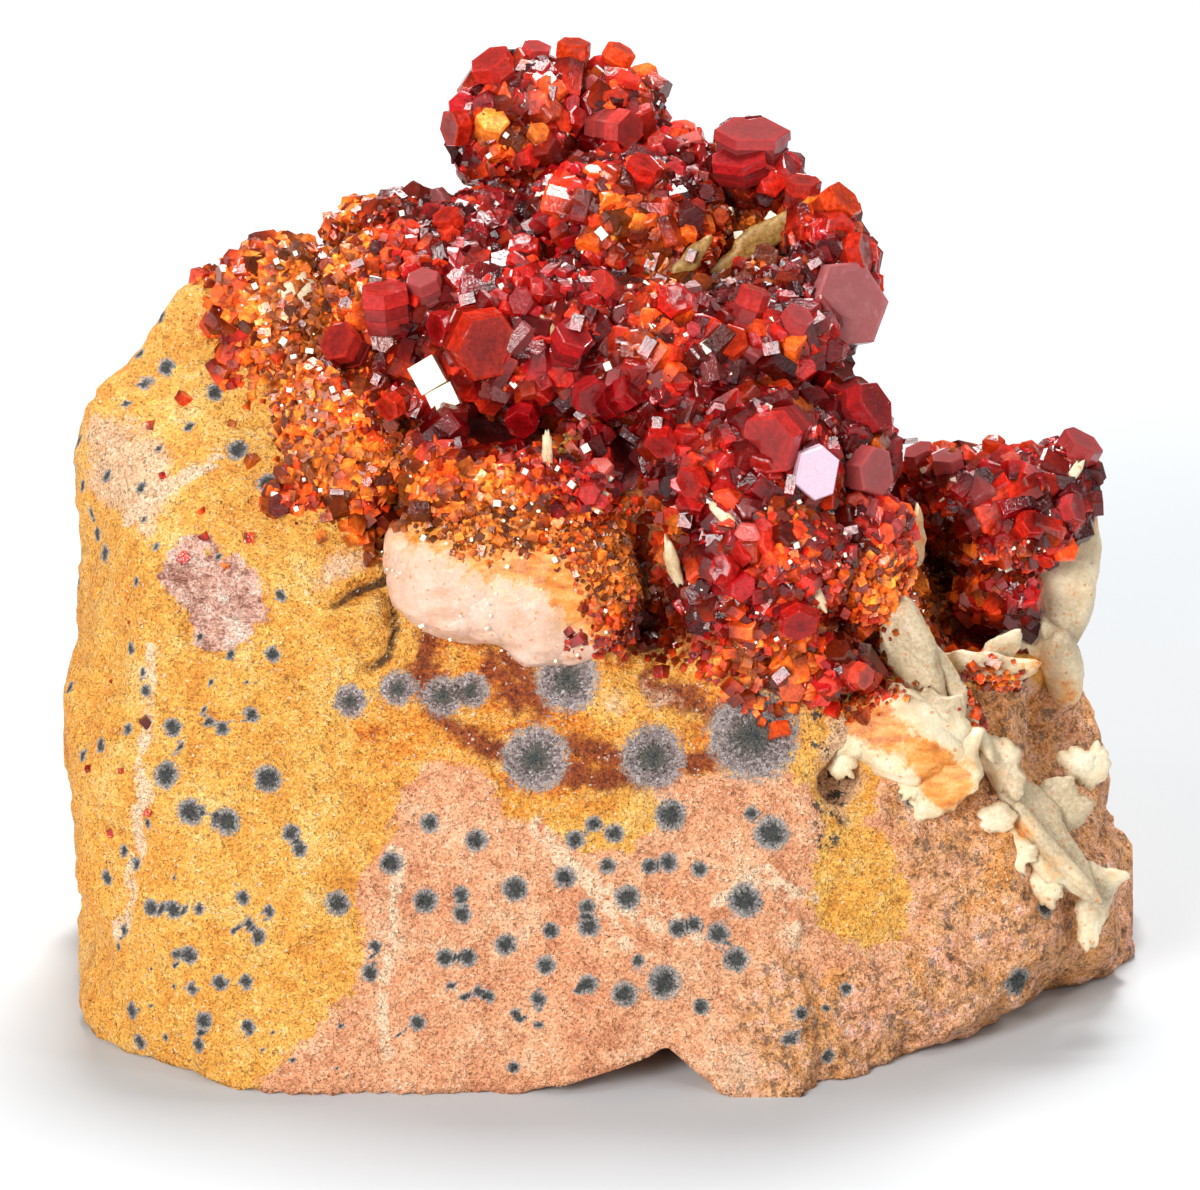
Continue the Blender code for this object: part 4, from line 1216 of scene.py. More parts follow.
# thin blades that stand between the red crystals
GOLDEN_BLADES = [
    (-4.0, 9.8, -18.6, 2.7, 0.45, 0.35, 88, 20),
    (-1.2, 7.2, -19.2, 1.7, 0.4, 0.3, -38, 30),
    (10.2, 4.9, -20.0, 2.2, 0.55, 0.35, -42, 30),
    (15.6, 1.0, -19.8, 2.5, 0.5, 0.35, -62, 25),
    (5.4, 2.4, -19.4, 2.0, 0.5, 0.4, -72, 30),
    (-3.9, 19.8, -17.4, 1.8, 0.45, 0.3, -52, 35),
    (11.4, 15.6, -16.6, 1.1, 0.4, 0.3, -28, 30),
    (12.0, 26.2, -6.2, 5.4, 1.3, 0.5, 36, 30),
    (6.0, 24.0, -9.6, 2.6, 0.8, 0.4, 48, 30),
    (-6.6, 22.6, -13.4, 1.1, 0.5, 0.3, 20, 20),
    (-22.6, 22.2, -9.4, 2.0, 1.3, 0.5, 50, 20),
    (34.8, 8.2, -3.0, 1.9, 0.5, 0.3, 62, 20),
    (23.4, 4.2, -8.0, 2.2, 0.8, 0.4, 88, 40),
]


print("mound, spray, crescent and golden blades:", len(MOUND_LOBES), len(SPRAY_BLADES),
      len(CRESCENT_BLADES), len(GOLDEN_BLADES))

# %% Plate formula
FRONT_AXES = np.stack([ACROSS, RISE, -AWAY], axis=-1)


def turn_about(axis, degrees):
    """A turn about X, Y or Z as a table of its three new directions."""
    return np.array(Matrix.Rotation(math.radians(degrees), 3, axis))


def lobe(place, seed, roundness, rag, bend, rings=22, columns=42, skin=0.05):
    """A plate or lobe from a ball.

    The in plane radius is the ball's raised to ROUNDNESS, where 1 is an ellipsoid and a small
    number is a flat plate; noise by direction makes the rim ragged and the square of the length
    bends it.
    """
    x, y, z, length, width, thick, spin, tilt = place
    ball = ball_ways(rings, columns)
    flat = np.hypot(ball[:, 0], ball[:, 1])
    spread = np.maximum(flat, 1e-6) ** (roundness - 1) * (flat > 1e-6)
    rim = np.stack([ball[:, 0], ball[:, 1], 0 * flat], axis=-1) / np.maximum(flat, 1e-6)[:, None]
    ragged = 1 + rag * rough_noise(rim + seed, 0.5, seed) * flat
    local = ball * np.stack([spread * ragged, spread * ragged, np.ones_like(flat)], axis=-1)
    local *= (length, width, thick)
    local[:, 2] += bend * thick * ((local[:, 0] / length) ** 2 - 0.4)
    local[:, 2] += skin * thick * 4 * rough_noise(local * (0.35, 1, 1) + seed, 0.8, seed) * flat ** 0.5
    axes = FRONT_AXES @ turn_about("Z", spin) @ turn_about("X", tilt)
    return from_front(x, y, z) + local @ axes.T, ring_triangles(rings, columns)


def round_bells(points, places):
    """Sum of round bells: across, up, reach, amount."""
    return bells(points, [(x, y, reach, reach, amount) for x, y, reach, amount in places])


print("points of one plate:", len(lobe(SPRAY_BLADES[0], 80, 0.55, 0.26, 0.6)[0]))

# %% [markdown]
# ## Colour of the barite
# Clean barite is cream.  Iron stains it orange where water ran, thin blades look grey-green, and
# those between the red crystals are olive.  Each is a sum of soft bells, named by their places.

# %% Barite stains and tones
# across, up, reach, amount
STAINS = [(-8, 3.4, 3.2, 0.5), (-3.6, 2.2, 2.6, 0.5), (-0.6, 0.6, 2.2, 0.6), (25.8, -14.0, 1.9, 1.5),
          (23.4, -11.4, 1.4, 0.9), (20.8, -9.8, 1.6, 1.5), (-7, 6.4, 3.8, 1.3), (-13, 6, 2.8, 1.0),
          (-0.6, 4, 3.0, 1.3), (-0.4, -1, 2.4, 1.1), (-3.4, 3.8, 1.8, 0.8),
          (24.8, -12.2, 1.1, 0.8), (17.5, -9.6, 1.6, 0.5), (18.4, -7.4, 2, 0.8),
          (31.4, -17.6, 1.3, 0.6), (33.6, -20.4, 1.0, 0.5), (29.6, -13.6, 0.9, 0.5), (35, -7.6, 1.6, 0.6),
          (36.9, 6, 1.4, 0.7), (32, -5, 1.6, 0.6), (12, 26, 5, 0.45), (6, 24, 3, 0.4), (-4, 19.6, 2, 0.4),
          (10, 5, 3, 0.3), (-22.6, 22, 1, 0.2), (23.4, 4.4, 3, 0.6)]
OLIVE = [(12, 26, 6, 1.0), (6, 24, 3, 1.0), (-3.9, 19.8, 1.5, 0.6), (5.4, 2.4, 2, 0.5), (15.6, 1, 2.4, 0.5)]
GREEN_GREY = [(35, 4, 5, 0.55), (23.0, -2.6, 3.2, 1.0), (26.4, -6.8, 2.6, 1.1), (29, -5.2, 2.4, 1.0),
              (34.2, -3, 3.0, 0.8), (31.6, -14.4, 3.4, 1.0), (35.4, -15.6, 2.6, 0.8), (34, -19.0, 2.4, 0.7),
              (37, -22.6, 2.2, 0.8), (12, 26, 5, 0.9), (5.4, 2, 2.4, 0.6), (-3.8, 10, 2.4, 0.6),
              (23.4, 4, 3, 0.9), (7, 24, 3, 0.9)]
MOUND_TONES = ((0.25, (0.66, 0.36, 0.22)), (0.5, (0.77, 0.49, 0.36)), (0.75, (0.84, 0.62, 0.50)))
BLADE_TONES = ((0.25, (0.72, 0.49, 0.27)), (0.5, (0.86, 0.71, 0.46)), (0.75, (0.93, 0.84, 0.64)))
GREY_TONES = ((0.3, (0.46, 0.33, 0.17)), (0.7, (0.74, 0.61, 0.42)))
STAIN_TONES = ((0.3, (0.55, 0.13, 0.005)), (0.5, (0.86, 0.30, 0.03)), (0.75, (0.93, 0.55, 0.18)))
OLIVE_TONES = ((0.3, (0.24, 0.11, 0.015)), (0.7, (0.66, 0.40, 0.12)))
BARITE_GRAIN = ((0.0, (0.6, 0.55, 0.5)), (1.0, (1.15, 1.15, 1.15)))
AMBER_WASH = (0.92, 0.50, 0.17)
RED_DOT = (0.72, 0.22, 0.03)
WAX_DEPTH = 1.2 * MM
WAX_SPREAD = Vector((1.0, 0.7, 0.4))
print("stains:", len(STAINS))


# %% Barite finish
def barite_finish(name, tones):
    """Cream clouds, grey-green, an amber wash with rust in it, olive, red dots, and fine grains.

    A little light goes into the mineral, which makes it look waxy.
    """
    f = Finish(name)
    stain, grey, olive, _ = f.grown("hue")
    clouds = f.noise(2.2, 5, 0.6)
    fine = f.noise(0.35, 4, 0.7)
    streak = f.noise(0.6, 4, 0.6, f.vector_math("MULTIPLY", f.place, (0.25, 1.0, 1.0)))
    near, light, dot, _ = f.grains(0.22)
    grey_share = f.step(f.plus(grey, f.times(streak, 0.5)), 0.55, 1.05)
    colour = f.mix(grey_share, f.ramp(clouds, *tones), f.ramp(fine, *GREY_TONES))
    amount = f.plus(stain, f.times(f.minus(f.noise(0.9, 5, 0.7), 0.5), 1.6))
    colour = f.mix(f.times(f.step(amount, 0.1, 0.6), 0.5), colour, AMBER_WASH)
    colour = f.mix(f.step(amount, 0.4, 0.75), colour, f.ramp(streak, *STAIN_TONES))
    colour = f.mix(f.step(olive, 0.2, 0.7), colour, f.ramp(fine, *OLIVE_TONES))
    colour = f.mix(f.times(f.step(dot, 0.98, 0.985), 0.7), colour, RED_DOT)
    colour = f.mix(0.25, colour, f.ramp(light, *BARITE_GRAIN), "MULTIPLY")
    grain = f.bump(near, 0.2, 0.08)
    skin = f.bump(f.plus(clouds, f.times(fine, 0.4)), 0.45, 0.5, grain)
    f.set(Subsurface_Weight=0.12, Subsurface_Scale=WAX_DEPTH, Subsurface_Radius=WAX_SPREAD, IOR=1.64)
    return f.set(Base_Color=colour, Roughness=f.math("MULTIPLY_ADD", fine, 0.35, 0.22), Normal=skin)


MOUND_FINISH = barite_finish("mound_barite", MOUND_TONES)
BLADE_FINISH = barite_finish("blade_barite", BLADE_TONES)
print("finishes:", MOUND_FINISH.name, BLADE_FINISH.name)


# %% Barite pieces
def barite_piece(name, places, roundness, rag, bend, seed, finish=BLADE_FINISH, skin=0.05, **grid):
    """All the lobes or blades of one growth in one mesh, with their stain stored at each point."""
    shells = [lobe(place, seed + n, roundness, rag, bend * (1 if n % 2 else -1), skin=skin, **grid)
              for n, place in enumerate(places)]
    points, triangles = join_shells(shells)
    points = settle(points)
    hue = np.stack([round_bells(points, places) for places in (STAINS, GREEN_GREY, OLIVE)], axis=-1)
    piece = make_piece(name, points, triangles, finish, attributes={"hue": hue})
    return piece, points, triangles


mound, mound_points, mound_triangles = barite_piece("barite_mound_skin", MOUND_LOBES, 0.8, 0.05, 0.15, 60,
                                                    MOUND_FINISH, skin=0.03)
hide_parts("barite_mound")
spray, spray_points, spray_triangles = barite_piece("barite_spray_skin", SPRAY_BLADES, 0.55, 0.26, 0.6, 80)
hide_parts("barite_spray")
crescent, crescent_points, crescent_triangles = barite_piece("barite_crescent_skin", CRESCENT_BLADES, 0.55,
                                                             0.08, 0.6, 100)
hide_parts("barite_crescent")
barite_piece("barite_golden_blades", GOLDEN_BLADES, 0.6, 0.3, 0.6, 120, rings=12, columns=24)

# %% [markdown]
# ## The red ground
# Under the crystal faces the vanadinite is massive: overlapping lumps, each a ball stretched to
# its three sizes and roughened.  Only dark gaps show it, but every crystal needs it to stand on.

# %% Vanadinite lumps
# across, up, back and the three half sizes
DRUSE_LUMPS = [
    (-14.2, 20.4, -8.4, 8.2, 7.2, 5.0),
    (-5.0, 18.6, -11.6, 8.0, 6.0, 5.4),
    (5.0, 16.6, -11.4, 8.2, 6.4, 6.2),
    (-9.5, 25.4, -4.2, 9.0, 4.2, 5.0),
    (1.5, 26.6, -4.8, 8.0, 6.0, 6.0),
    (11.6, 18.4, -9.8, 6.4, 6.2, 6.6),
    (11.0, 9.8, -14.4, 7.8, 5.8, 5.2),
    (17.4, 11.0, -10.2, 3.9, 4.0, 5.4),
    (16.2, 23.4, -5.0, 3.7, 5.6, 5.6),
    (-15.4, 27.0, -3.5, 4.8, 2.6, 3.6),
    (-5.4, 34.2, 0.6, 5.4, 5.2, 4.8),
    (1.0, 35.0, 1.6, 3.4, 4.2, 4.4),
    (5.0, 31.6, 0.6, 2.8, 2.6, 3.0),
    (11.0, 30.4, -0.6, 3.0, 3.8, 4.4),
    (11.0, 25.4, -1.4, 5.4, 3.6, 3.4),
    (3.0, 9.8, -14.4, 4.8, 4.2, 3.6),
    (12.0, 1.6, -17.4, 6.0, 5.8, 3.8),
    (19.2, 2.6, -12.8, 4.0, 5.2, 4.0),
    (15.2, -5.4, -16.8, 5.2, 1.7, 2.2),
    (-21.5, 16.8, -8.8, 7.2, 8.4, 1.9),
    (-17.8, 11.0, -13.6, 6.4, 5.6, 2.0),
    (-22.6, 23.0, -5.2, 6.0, 4.0, 1.9),
    (-6.6, 7.4, -17.6, 7.6, 2.8, 2.8),
    (-8.6, 10.8, -14.8, 6.2, 3.4, 2.2),
]
CLUSTER_LUMPS = [
    (30.0, 6.0, 0.2, 5.8, 4.4, 4.6),
    (34.0, 7.6, 0.2, 2.3, 3.0, 3.0),
    (29.6, 0.8, 0.4, 2.7, 3.8, 2.8),
    (25.8, 7.4, 1.6, 2.5, 2.8, 3.0),
]


print("lumps:", len(DRUSE_LUMPS) + len(CLUSTER_LUMPS))

# %% Lump formula
DEEPEST = 3.4
LUMP_SIZE = 0.95


def hollow_step(points):
    """How far a hollow draws each place back, away from the viewer: its depth, held to a limit."""
    return AWAY * np.minimum(hollow_depth(points), DEEPEST)[:, None]


def lump_shell(place, seed, rings=18, columns=30):
    """A ball stretched to three sizes, its reach changed by layers of noise and by terraces."""
    x, y, z, *sizes = place
    ball = ball_ways(rings, columns)
    wide = ball * sizes + seed
    rough = 0.5 * rough_noise(wide, 2.6, seed) + 0.4 * terraces(wide, 2.4, seed)
    swell = LUMP_SIZE + rough / np.min(sizes)
    points = from_front(x, y, z) + (ball * sizes * swell[:, None]) @ FRONT_AXES.T
    return points + hollow_step(points), ring_triangles(rings, columns)


def depth_in_lumps(points, lumps):
    """Distance from each lump's middle in half sizes, one row for each lump: under 1 is inside."""
    return np.array([np.linalg.norm(((points - from_front(*lump[:3])) @ FRONT_AXES) / lump[3:], axis=1)
                     for lump in lumps])


def above_rock(points):
    """How far outside the block each point is, along its line from the heart."""
    offset = points - ROCK_HEART
    far = np.linalg.norm(offset, axis=1)
    return far - rock_distance(offset / far[:, None])


print("one lump:", len(lump_shell(DRUSE_LUMPS[0], 200)[1]), "triangles")

# %% [markdown]
# ## Colour of the vanadinite
# The thick crystals are blood red and the thin young ones at the edges of the crust are orange.
# The eye reads their depth from light and shade, so each crystal has a painted shade of its own,
# darker at its buried end and in the hollows and lighter on its rims, with cloudy patches inside
# and a pale bloom on a few, partly a frosted skin and partly painted sheen.  The gloss is high, as
# on all lead minerals.

# %% Vanadinite tones
# where the crystals are orange instead of deep red: across, up, reach, amount
ORANGE = [(-10, 3.4, 3, 0.4), (-5, 36.5, 4, 0.22), (13, -1, 4.5, 0.2), (-24, 20, 6, 0.95),
          (-21, 10, 6, 0.95), (-8, 6.0, 4.5, 0.95), (0.8, 2, 3, 0.8), (19, 28.2, 3, 0.55),
          (5, 24.5, 3, 0.75), (11, 26.4, 3.4, 0.8), (-1, 40.6, 2.4, 0.5), (4, 37.5, 3, 0.5),
          (-6.5, 33.5, 2.4, 0.6), (14, -5.5, 4, 0.45), (20, 1, 3, 0.6),
          (28, 11.0, 3, 0.4), (36.4, 2, 3, 0.5), (29, 1, 4, 0.3), (-20, 27, 6, 0.8), (8, 12, 2.4, 0.25),
          (13, 16, 2.4, 0.3), (15, 6, 2.4, 0.5), (24, 1, 4, 0.5), (12, 3, 2.4, 0.3), (4, 19, 2.4, 0.3),
          (1.5, 28.6, 2.8, 0.7), (9, 33, 2, 0.3), (-14, 9, 4, 0.4)]
BASE_TONE = 0.92
RED_TONES = ((0.0, (0.95, 0.27, 0.035)), (0.2, (0.93, 0.16, 0.016)), (0.45, (0.78, 0.070, 0.010)),
             (0.75, (0.54, 0.018, 0.008)), (1.0, (0.35, 0.004, 0.007)))
# painted shade: near black at 0, and above about 0.8 a painted highlight lighter than the crystal's own colour
PAINTED_SHADE_TONES = ((0.0, (0.06, 0.04, 0.04)), (0.3, (0.32, 0.25, 0.25)), (0.6, (0.78, 0.70, 0.70)),
               (1.0, (1.55, 1.6, 1.5)))
CLOUD_TONES = ((0.25, (0.45, 0.30, 0.30)), (0.5, (1, 0.9, 0.9)), (0.75, (1.5, 1.9, 1.5)))
# bloom: partly a rougher frosted skin, partly painted sheen; its cream top is the painted highlight of mirrors and
# glints
BLOOM_SHEEN_TONES = ((0.0, (0.42, 0.09, 0.08)), (0.4, (0.42, 0.14, 0.14)), (0.75, (0.74, 0.55, 0.66)),
               (1.0, (0.90, 0.82, 0.62)))


def tone_of(points):
    """1 for deep red, 0 for amber: the base, less the orange bells, plus patches of noise."""
    return np.clip(BASE_TONE - round_bells(points, ORANGE) + 0.24 * cell_noise(points, 2.2, 71), 0, 1)


print("tone of the first lump:", tone_of(from_front(*DRUSE_LUMPS[0][:3])[None]).round(2))


# %% Vanadinite finish
def vanadinite_finish(name, gloss, painted_shade_dim=1.0, faceted=False):
    """The tone's red, times the painted shade, times the clouds, then the bloom, partly painted sheen, laid over
    it.
    """
    f = Finish(name)
    tone, frost_sheen, shade, _ = f.grown("growth")
    clouds = f.noise(0.45, 3, 0.75)
    # the dim factor darkens the clouds of the ground: painted shade
    shade_dimmed_clouds = [(where, tuple(painted_shade_dim * part for part in tint)) for where, tint in CLOUD_TONES]
    colour = f.mix(1.0, f.ramp(tone, *RED_TONES), f.ramp(shade, *PAINTED_SHADE_TONES), "MULTIPLY")
    colour = f.mix(1.0, colour, f.ramp(clouds, *shade_dimmed_clouds), "MULTIPLY")
    # the bloom, partly painted sheen, is laid on by the frost
    colour = f.mix(f.math("MINIMUM", frost_sheen, 1.0), colour, f.ramp(f.times(frost_sheen, 0.5), *BLOOM_SHEEN_TONES))
    rough = f.math("MULTIPLY_ADD", frost_sheen, 0.12, f.math("MULTIPLY_ADD", clouds, 0.26, gloss))
    under = f.bump(f.facets(0.6, 0.12), 1.0, 1.0) if faceted else None
    relief = f.bump(clouds, 0.15 if faceted else 0.6, 0.12, under)
    f.set(IOR=1.65, Specular_IOR_Level=0.22 if faceted else 0.4)
    return f.set(Base_Color=colour, Roughness=rough, Normal=relief)


LARGE_FINISH = vanadinite_finish("large_red_crystal", -0.04, faceted=True)
CRYSTAL_FINISH = vanadinite_finish("red_crystal", -0.04)
# the ground between the crystals is dimmed to 0.8: painted shade in the gaps
GROUND_FINISH = vanadinite_finish("red_ground", 0.25, 0.8)
print("finishes:", LARGE_FINISH.name, CRYSTAL_FINISH.name, GROUND_FINISH.name)


# %% The red ground
def ground_piece(name, lumps, seed):
    """All lumps of one growth in one mesh, with a low painted shade that is darkest in the hollows."""
    points, triangles = join_shells([lump_shell(lump, seed + n) for n, lump in enumerate(lumps)])
    # painted shade: about half everywhere on the ground, and darker in the hollows
    shade = (0.5 + 0.2 * cell_noise(points, 0.8, seed)) * (1 - 0.9 * hollow_shade(points))
    growth = np.stack([tone_of(points), 0 * shade, shade], axis=-1)
    piece = make_piece(name, points, triangles, GROUND_FINISH, attributes={"growth": growth})
    return piece, points, triangles


druse_ground, druse_points, druse_triangles = ground_piece("vanadinite_ground", DRUSE_LUMPS, 200)
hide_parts("vanadinite_druse")
cluster_ground, cluster_points, cluster_triangles = ground_piece("cluster_ground", CLUSTER_LUMPS, 260)
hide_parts("vanadinite_cluster")

# %% [markdown]
# ## One crystal, many crystals
# Vanadinite crystals are stubby six sided prisms with flat ends.  Six flat sides at slightly
# unlike distances from the axis give the lopsided hexagons of real ones: a corner lies where two
# neighbouring sides meet.  All crystals of one kind are made at once, as rings of six corners, or
# of four for the finest grains, the sugar, the mirrors and the glints.

# %% Prisms
UNLIKE = 0.14


def outlines_of(count, rng, sides):
    """Corners of lopsided polygons: corner = d0 n0 + (d1 - d0 cos t) / sin t along side 0.

    d0 and d1 are the distances of two neighbouring sides from the axis and t is the turn from
    one to the next.
    """
    turn = 2 * math.pi / sides
    turns = turn * np.arange(sides)
    ways = np.stack([np.cos(turns), np.sin(turns)], axis=-1)
    along = np.stack([-np.sin(turns), np.cos(turns)], axis=-1)
    reach = 0.9 * rng.uniform(1 - UNLIKE, 1 + UNLIKE, (count, sides))
    slide = (np.roll(reach, -1, axis=1) - math.cos(turn) * reach) / math.sin(turn)
    return reach[..., None] * ways + slide[..., None] * along


def prisms(centres, axes, widths, lengths, rng, profile, sides=6):
    """Closed prisms; PROFILE lists (height, size, painted light) of each ring of corners from end to end."""
    count, rings = len(centres), len(profile)
    heights, sizes, _ = np.array(profile).T
    local = np.zeros((count, rings, sides, 3))
    local[..., :2] = outlines_of(count, rng, sides)[:, None] * sizes[None, :, None, None] * (
        widths[:, None, None, None])
    local[..., 2] = heights[None, :, None] * lengths[:, None, None]
    points = centres[:, None, None] + np.einsum("nrci,nji->nrcj", local, axes)
    here = np.arange(sides)
    right = (here + 1) % sides
    walls = [np.stack([here, right, sides + right, here, sides + right, sides + here],
                      axis=-1).reshape(-1, 3) + k * sides for k in range(rings - 1)]
    fan = np.array([[0, k, k + 1] for k in range(1, sides - 1)])
    pattern = np.concatenate(walls + [fan[:, ::-1], fan + sides * (rings - 1)])
    triangles = (pattern[None] + sides * rings * np.arange(count)[:, None, None]).reshape(-1, 3)
    return points.reshape(-1, 3), triangles


# height, size and painted light of each ring, from the buried end to the free end: painted shade low down, a
# painted highlight on the rims
PLAIN = [(-1, 1, 0.35), (1, 1, 1.0)]
CHAMFERED = [(-1, 0.96, 0.22), (0.86, 1, 0.95), (1, 0.86, 1.1)]
STEPPED = [(-1, 0.9, 0.3), (-0.36, 1.0, 0.7), (-0.32, 0.95, 0.4), (0.22, 0.97, 0.6), (0.27, 1.04, 1.0),
           (0.92, 1.02, 0.8), (1.0, 0.96, 0.9), (0.99, 0.9, 0.7), (0.98, 0.3, 0.5)]


print("triangles of a crystal, plain, chamfered and stepped:",
      [12 * (len(profile) - 1) + 8 for profile in (PLAIN, CHAMFERED, STEPPED)])

# %% [markdown]
# ## Sown on a surface
# Crystals grow on any surface with the same chance for each square millimetre.  A triangle is
# drawn by its area, and two random shares give a place in it.  Thinning to one place in each
# small cube keeps neighbours apart.

# %% Sowing
def axes_along(ways, turns):
    """Three directions for each crystal: its axis, and two others turned about it."""
    side = np.cross(ways, np.where(np.abs(ways[:, 2:]) < 0.9, [[0, 0, 1.0]], [[1.0, 0, 0]]))
    side /= np.linalg.norm(side, axis=1, keepdims=True)
    other = np.cross(ways, side)
    cos, sin = np.cos(turns)[:, None], np.sin(turns)[:, None]
    return np.stack([cos * side + sin * other, cos * other - sin * side, ways], axis=-1)


def scatter(points, triangles, count, rng):
    """Random places on a surface, by area, with the surface's direction and the triangle there."""
    corner = points[triangles]
    cross = np.cross(corner[:, 1] - corner[:, 0], corner[:, 2] - corner[:, 0])
    area = np.linalg.norm(cross, axis=1)
    chosen = rng.choice(len(triangles), count, p=area / area.sum())
    a, b = rng.random((2, count, 1))
    flip = a + b > 1
    a, b = np.where(flip, 1 - a, a), np.where(flip, 1 - b, b)
    origin, first, second = corner[chosen].transpose(1, 0, 2)
    spots = origin + a * (first - origin) + b * (second - origin)
    return spots, cross[chosen] / np.maximum(area[chosen], 1e-12)[:, None], chosen


def keep_one_per_cell(spots, cell):
    """Indices that leave one place in each cube of CELL millimetres."""
    return np.unique(np.floor(spots / cell).astype(int), axis=0, return_index=True)[1]


def crystal_piece(name, points, triangles, tones, frost_sheens, shades, profile, material=None):
    """One mesh of many crystals, with tone, frost with painted sheen, and painted shade stored on their corners.

    The painted shade is the crystal's own times the painted light of the ring, which is low at the
    buried end and high on the rims.
    """
    each = len(points) // len(shades)
    light = np.repeat([light for *_, light in profile], each // len(profile))
    shade = np.repeat(shades, each) * np.tile(light, len(shades))
    growth = np.stack([np.repeat(tones, each), np.repeat(frost_sheens, each), np.clip(shade, 0, 1)], axis=-1)
    piece = make_piece(name, points, triangles, material or CRYSTAL_FINISH, smooth=False,
                       attributes={"growth": growth})
    return piece


# %% [markdown]
# ## The large crystals
# The eye knows the specimen by its biggest crystals, so those are placed one by one: where they
# are seen, how wide and long they are and which way they lean.  Each stands half buried where the
# viewer's line first meets the lumps.

# %% Table of large crystals
# across, up, half width, half length, lean, way it leans, turn, tone, frost with painted sheen
DRUSE_CRYSTALS = [
    (-9.4, 19.0, 2.4, 2.3, 30, 325, 12, 0.70, 0),
    (-18.7, 18.5, 1.5, 1.6, 38, 150, 5, 0.75, 0.1),
    (-16.0, 21.3, 1.7, 1.7, 70, 95, 30, 0.9, 0.15),
    (-12.8, 22.6, 1.2, 1.4, 50, 110, 8, 0.9, 0.5),
    (-11.0, 19.9, 1.3, 1.5, 60, 190, 14, 0.95, 0),
    (-2.5, 18.5, 1.5, 1.6, 45, 60, 18, 1, 0.1),
    (-1.0, 15.4, 1.4, 1.6, 35, 300, 0, 1, 0.1),
    (1.6, 14.6, 1.3, 1.6, 55, 30, 24, 1, 0),
    (-7.4, 38.6, 1.6, 1.7, 60, 120, 15, 0.75, 0.1),
    (-5.0, 39.6, 1.1, 1.4, 66, 80, 25, 0.8, 0.3),
    (-2.0, 39.6, 1.2, 1.6, 70, 85, 10, 0.55, 0),
    (1.0, 39.4, 1.1, 1.5, 72, 60, 0, 0.5, 0),
    (-9.8, 34.8, 1.3, 1.6, 60, 190, 22, 0.7, 0),
    (1.0, 34.8, 1.5, 1.7, 50, 350, 14, 0.8, 0.3),
    (11.4, 33.6, 2.7, 1.1, 68, 88, 5, 1, 0.35),
    (10.6, 31.9, 2.1, 1.0, 62, 100, 25, 1, 0.1),
    (13.4, 31.0, 1.6, 1.2, 70, 30, 11, 0.9, 0.1),
    (17.2, 28.6, 1.5, 1.6, 62, 40, 25, 0.45, 0),
    (15.0, 29.6, 1.2, 1.4, 65, 80, 3, 0.7, 0.1),
    (15.8, 9.2, 1.8, 2.0, 12, 330, 20, 1, 1.5),
    (18.1, 21.6, 3.1, 1.7, 30, 8, 28, 1, 0.8),
    (18.4, 25.4, 1.4, 1.5, 66, 10, 14, 0.7, 0),
    (19.2, 13.6, 1.9, 1.8, 58, 25, 20, 1, 0.1),
    (17.4, 15.0, 1.3, 1.5, 50, 60, 8, 1, 0.1),
    (13.4, 11.8, 2.2, 1.8, 34, 215, 6, 0.9, 0.15),
    (19.2, 9.4, 1.7, 2.1, 44, 350, 26, 1, 0.55),
    (21.2, 10.4, 1.1, 1.4, 76, 82, 4, 1, 0.3),
    (10.0, 18.5, 1.2, 1.4, 20, 120, 9, 0.6, 0),
    (14.3, 19.8, 1.1, 1.5, 55, 60, 19, 1, 0.4),
    (11.0, 20.9, 1.1, 2.0, 78, 70, 0, 0.9, 0.2),
    (4.6, 12.0, 1.1, 1.5, 42, 260, 16, 0.9, 0),
    (5.2, 21.5, 1.3, 1.6, 34, 45, 7, 0.85, 0),
    (0.5, 22.5, 1.2, 1.5, 52, 140, 2, 0.8, 0.2),
    (-5.5, 25.0, 1.2, 1.5, 50, 100, 17, 0.8, 0),
    (-4.4, 22.4, 1.1, 1.4, 64, 170, 23, 0.9, 0),
    (-11.0, 27.2, 1.1, 1.4, 58, 120, 12, 0.7, 0),
    (3.0, 31.0, 1.2, 1.4, 60, 70, 13, 0.8, 0),
    (6.0, 4.8, 1.1, 1.5, 50, 170, 5, 0.9, 0.3),
    (14.6, -1.4, 1.3, 1.4, 40, 290, 11, 0.9, 0),
    (9.6, 1.6, 1.1, 1.3, 36, 160, 0, 0.9, 0),
    (18.8, -5.8, 1.0, 1.3, 52, 340, 18, 0.6, 0.2),
    (7.4, 8.6, 1.2, 1.4, 42, 200, 8, 0.8, 0),
    (-15.0, 14.4, 1.1, 1.4, 48, 215, 24, 0.7, 0),
    (-5.6, 13.6, 1.3, 1.5, 46, 250, 3, 1, 0),
]
CLUSTER_CRYSTALS = [
    (35.2, 10.2, 1.5, 1.7, 66, 60, 8, 1, 0.35),
    (26.0, 9.0, 1.3, 1.6, 62, 100, 30, 1, 0.5),
    (24.0, 9.6, 1.2, 1.5, 64, 110, 14, 0.9, 0.5),
    (29.3, 10.6, 0.8, 1.1, 60, 90, 0, 0.5, 0),
    (34.4, 6.4, 1.1, 1.4, 56, 10, 17, 1, 0.3),
    (31.4, 5.0, 1.1, 1.3, 44, 30, 9, 0.8, 0),
]
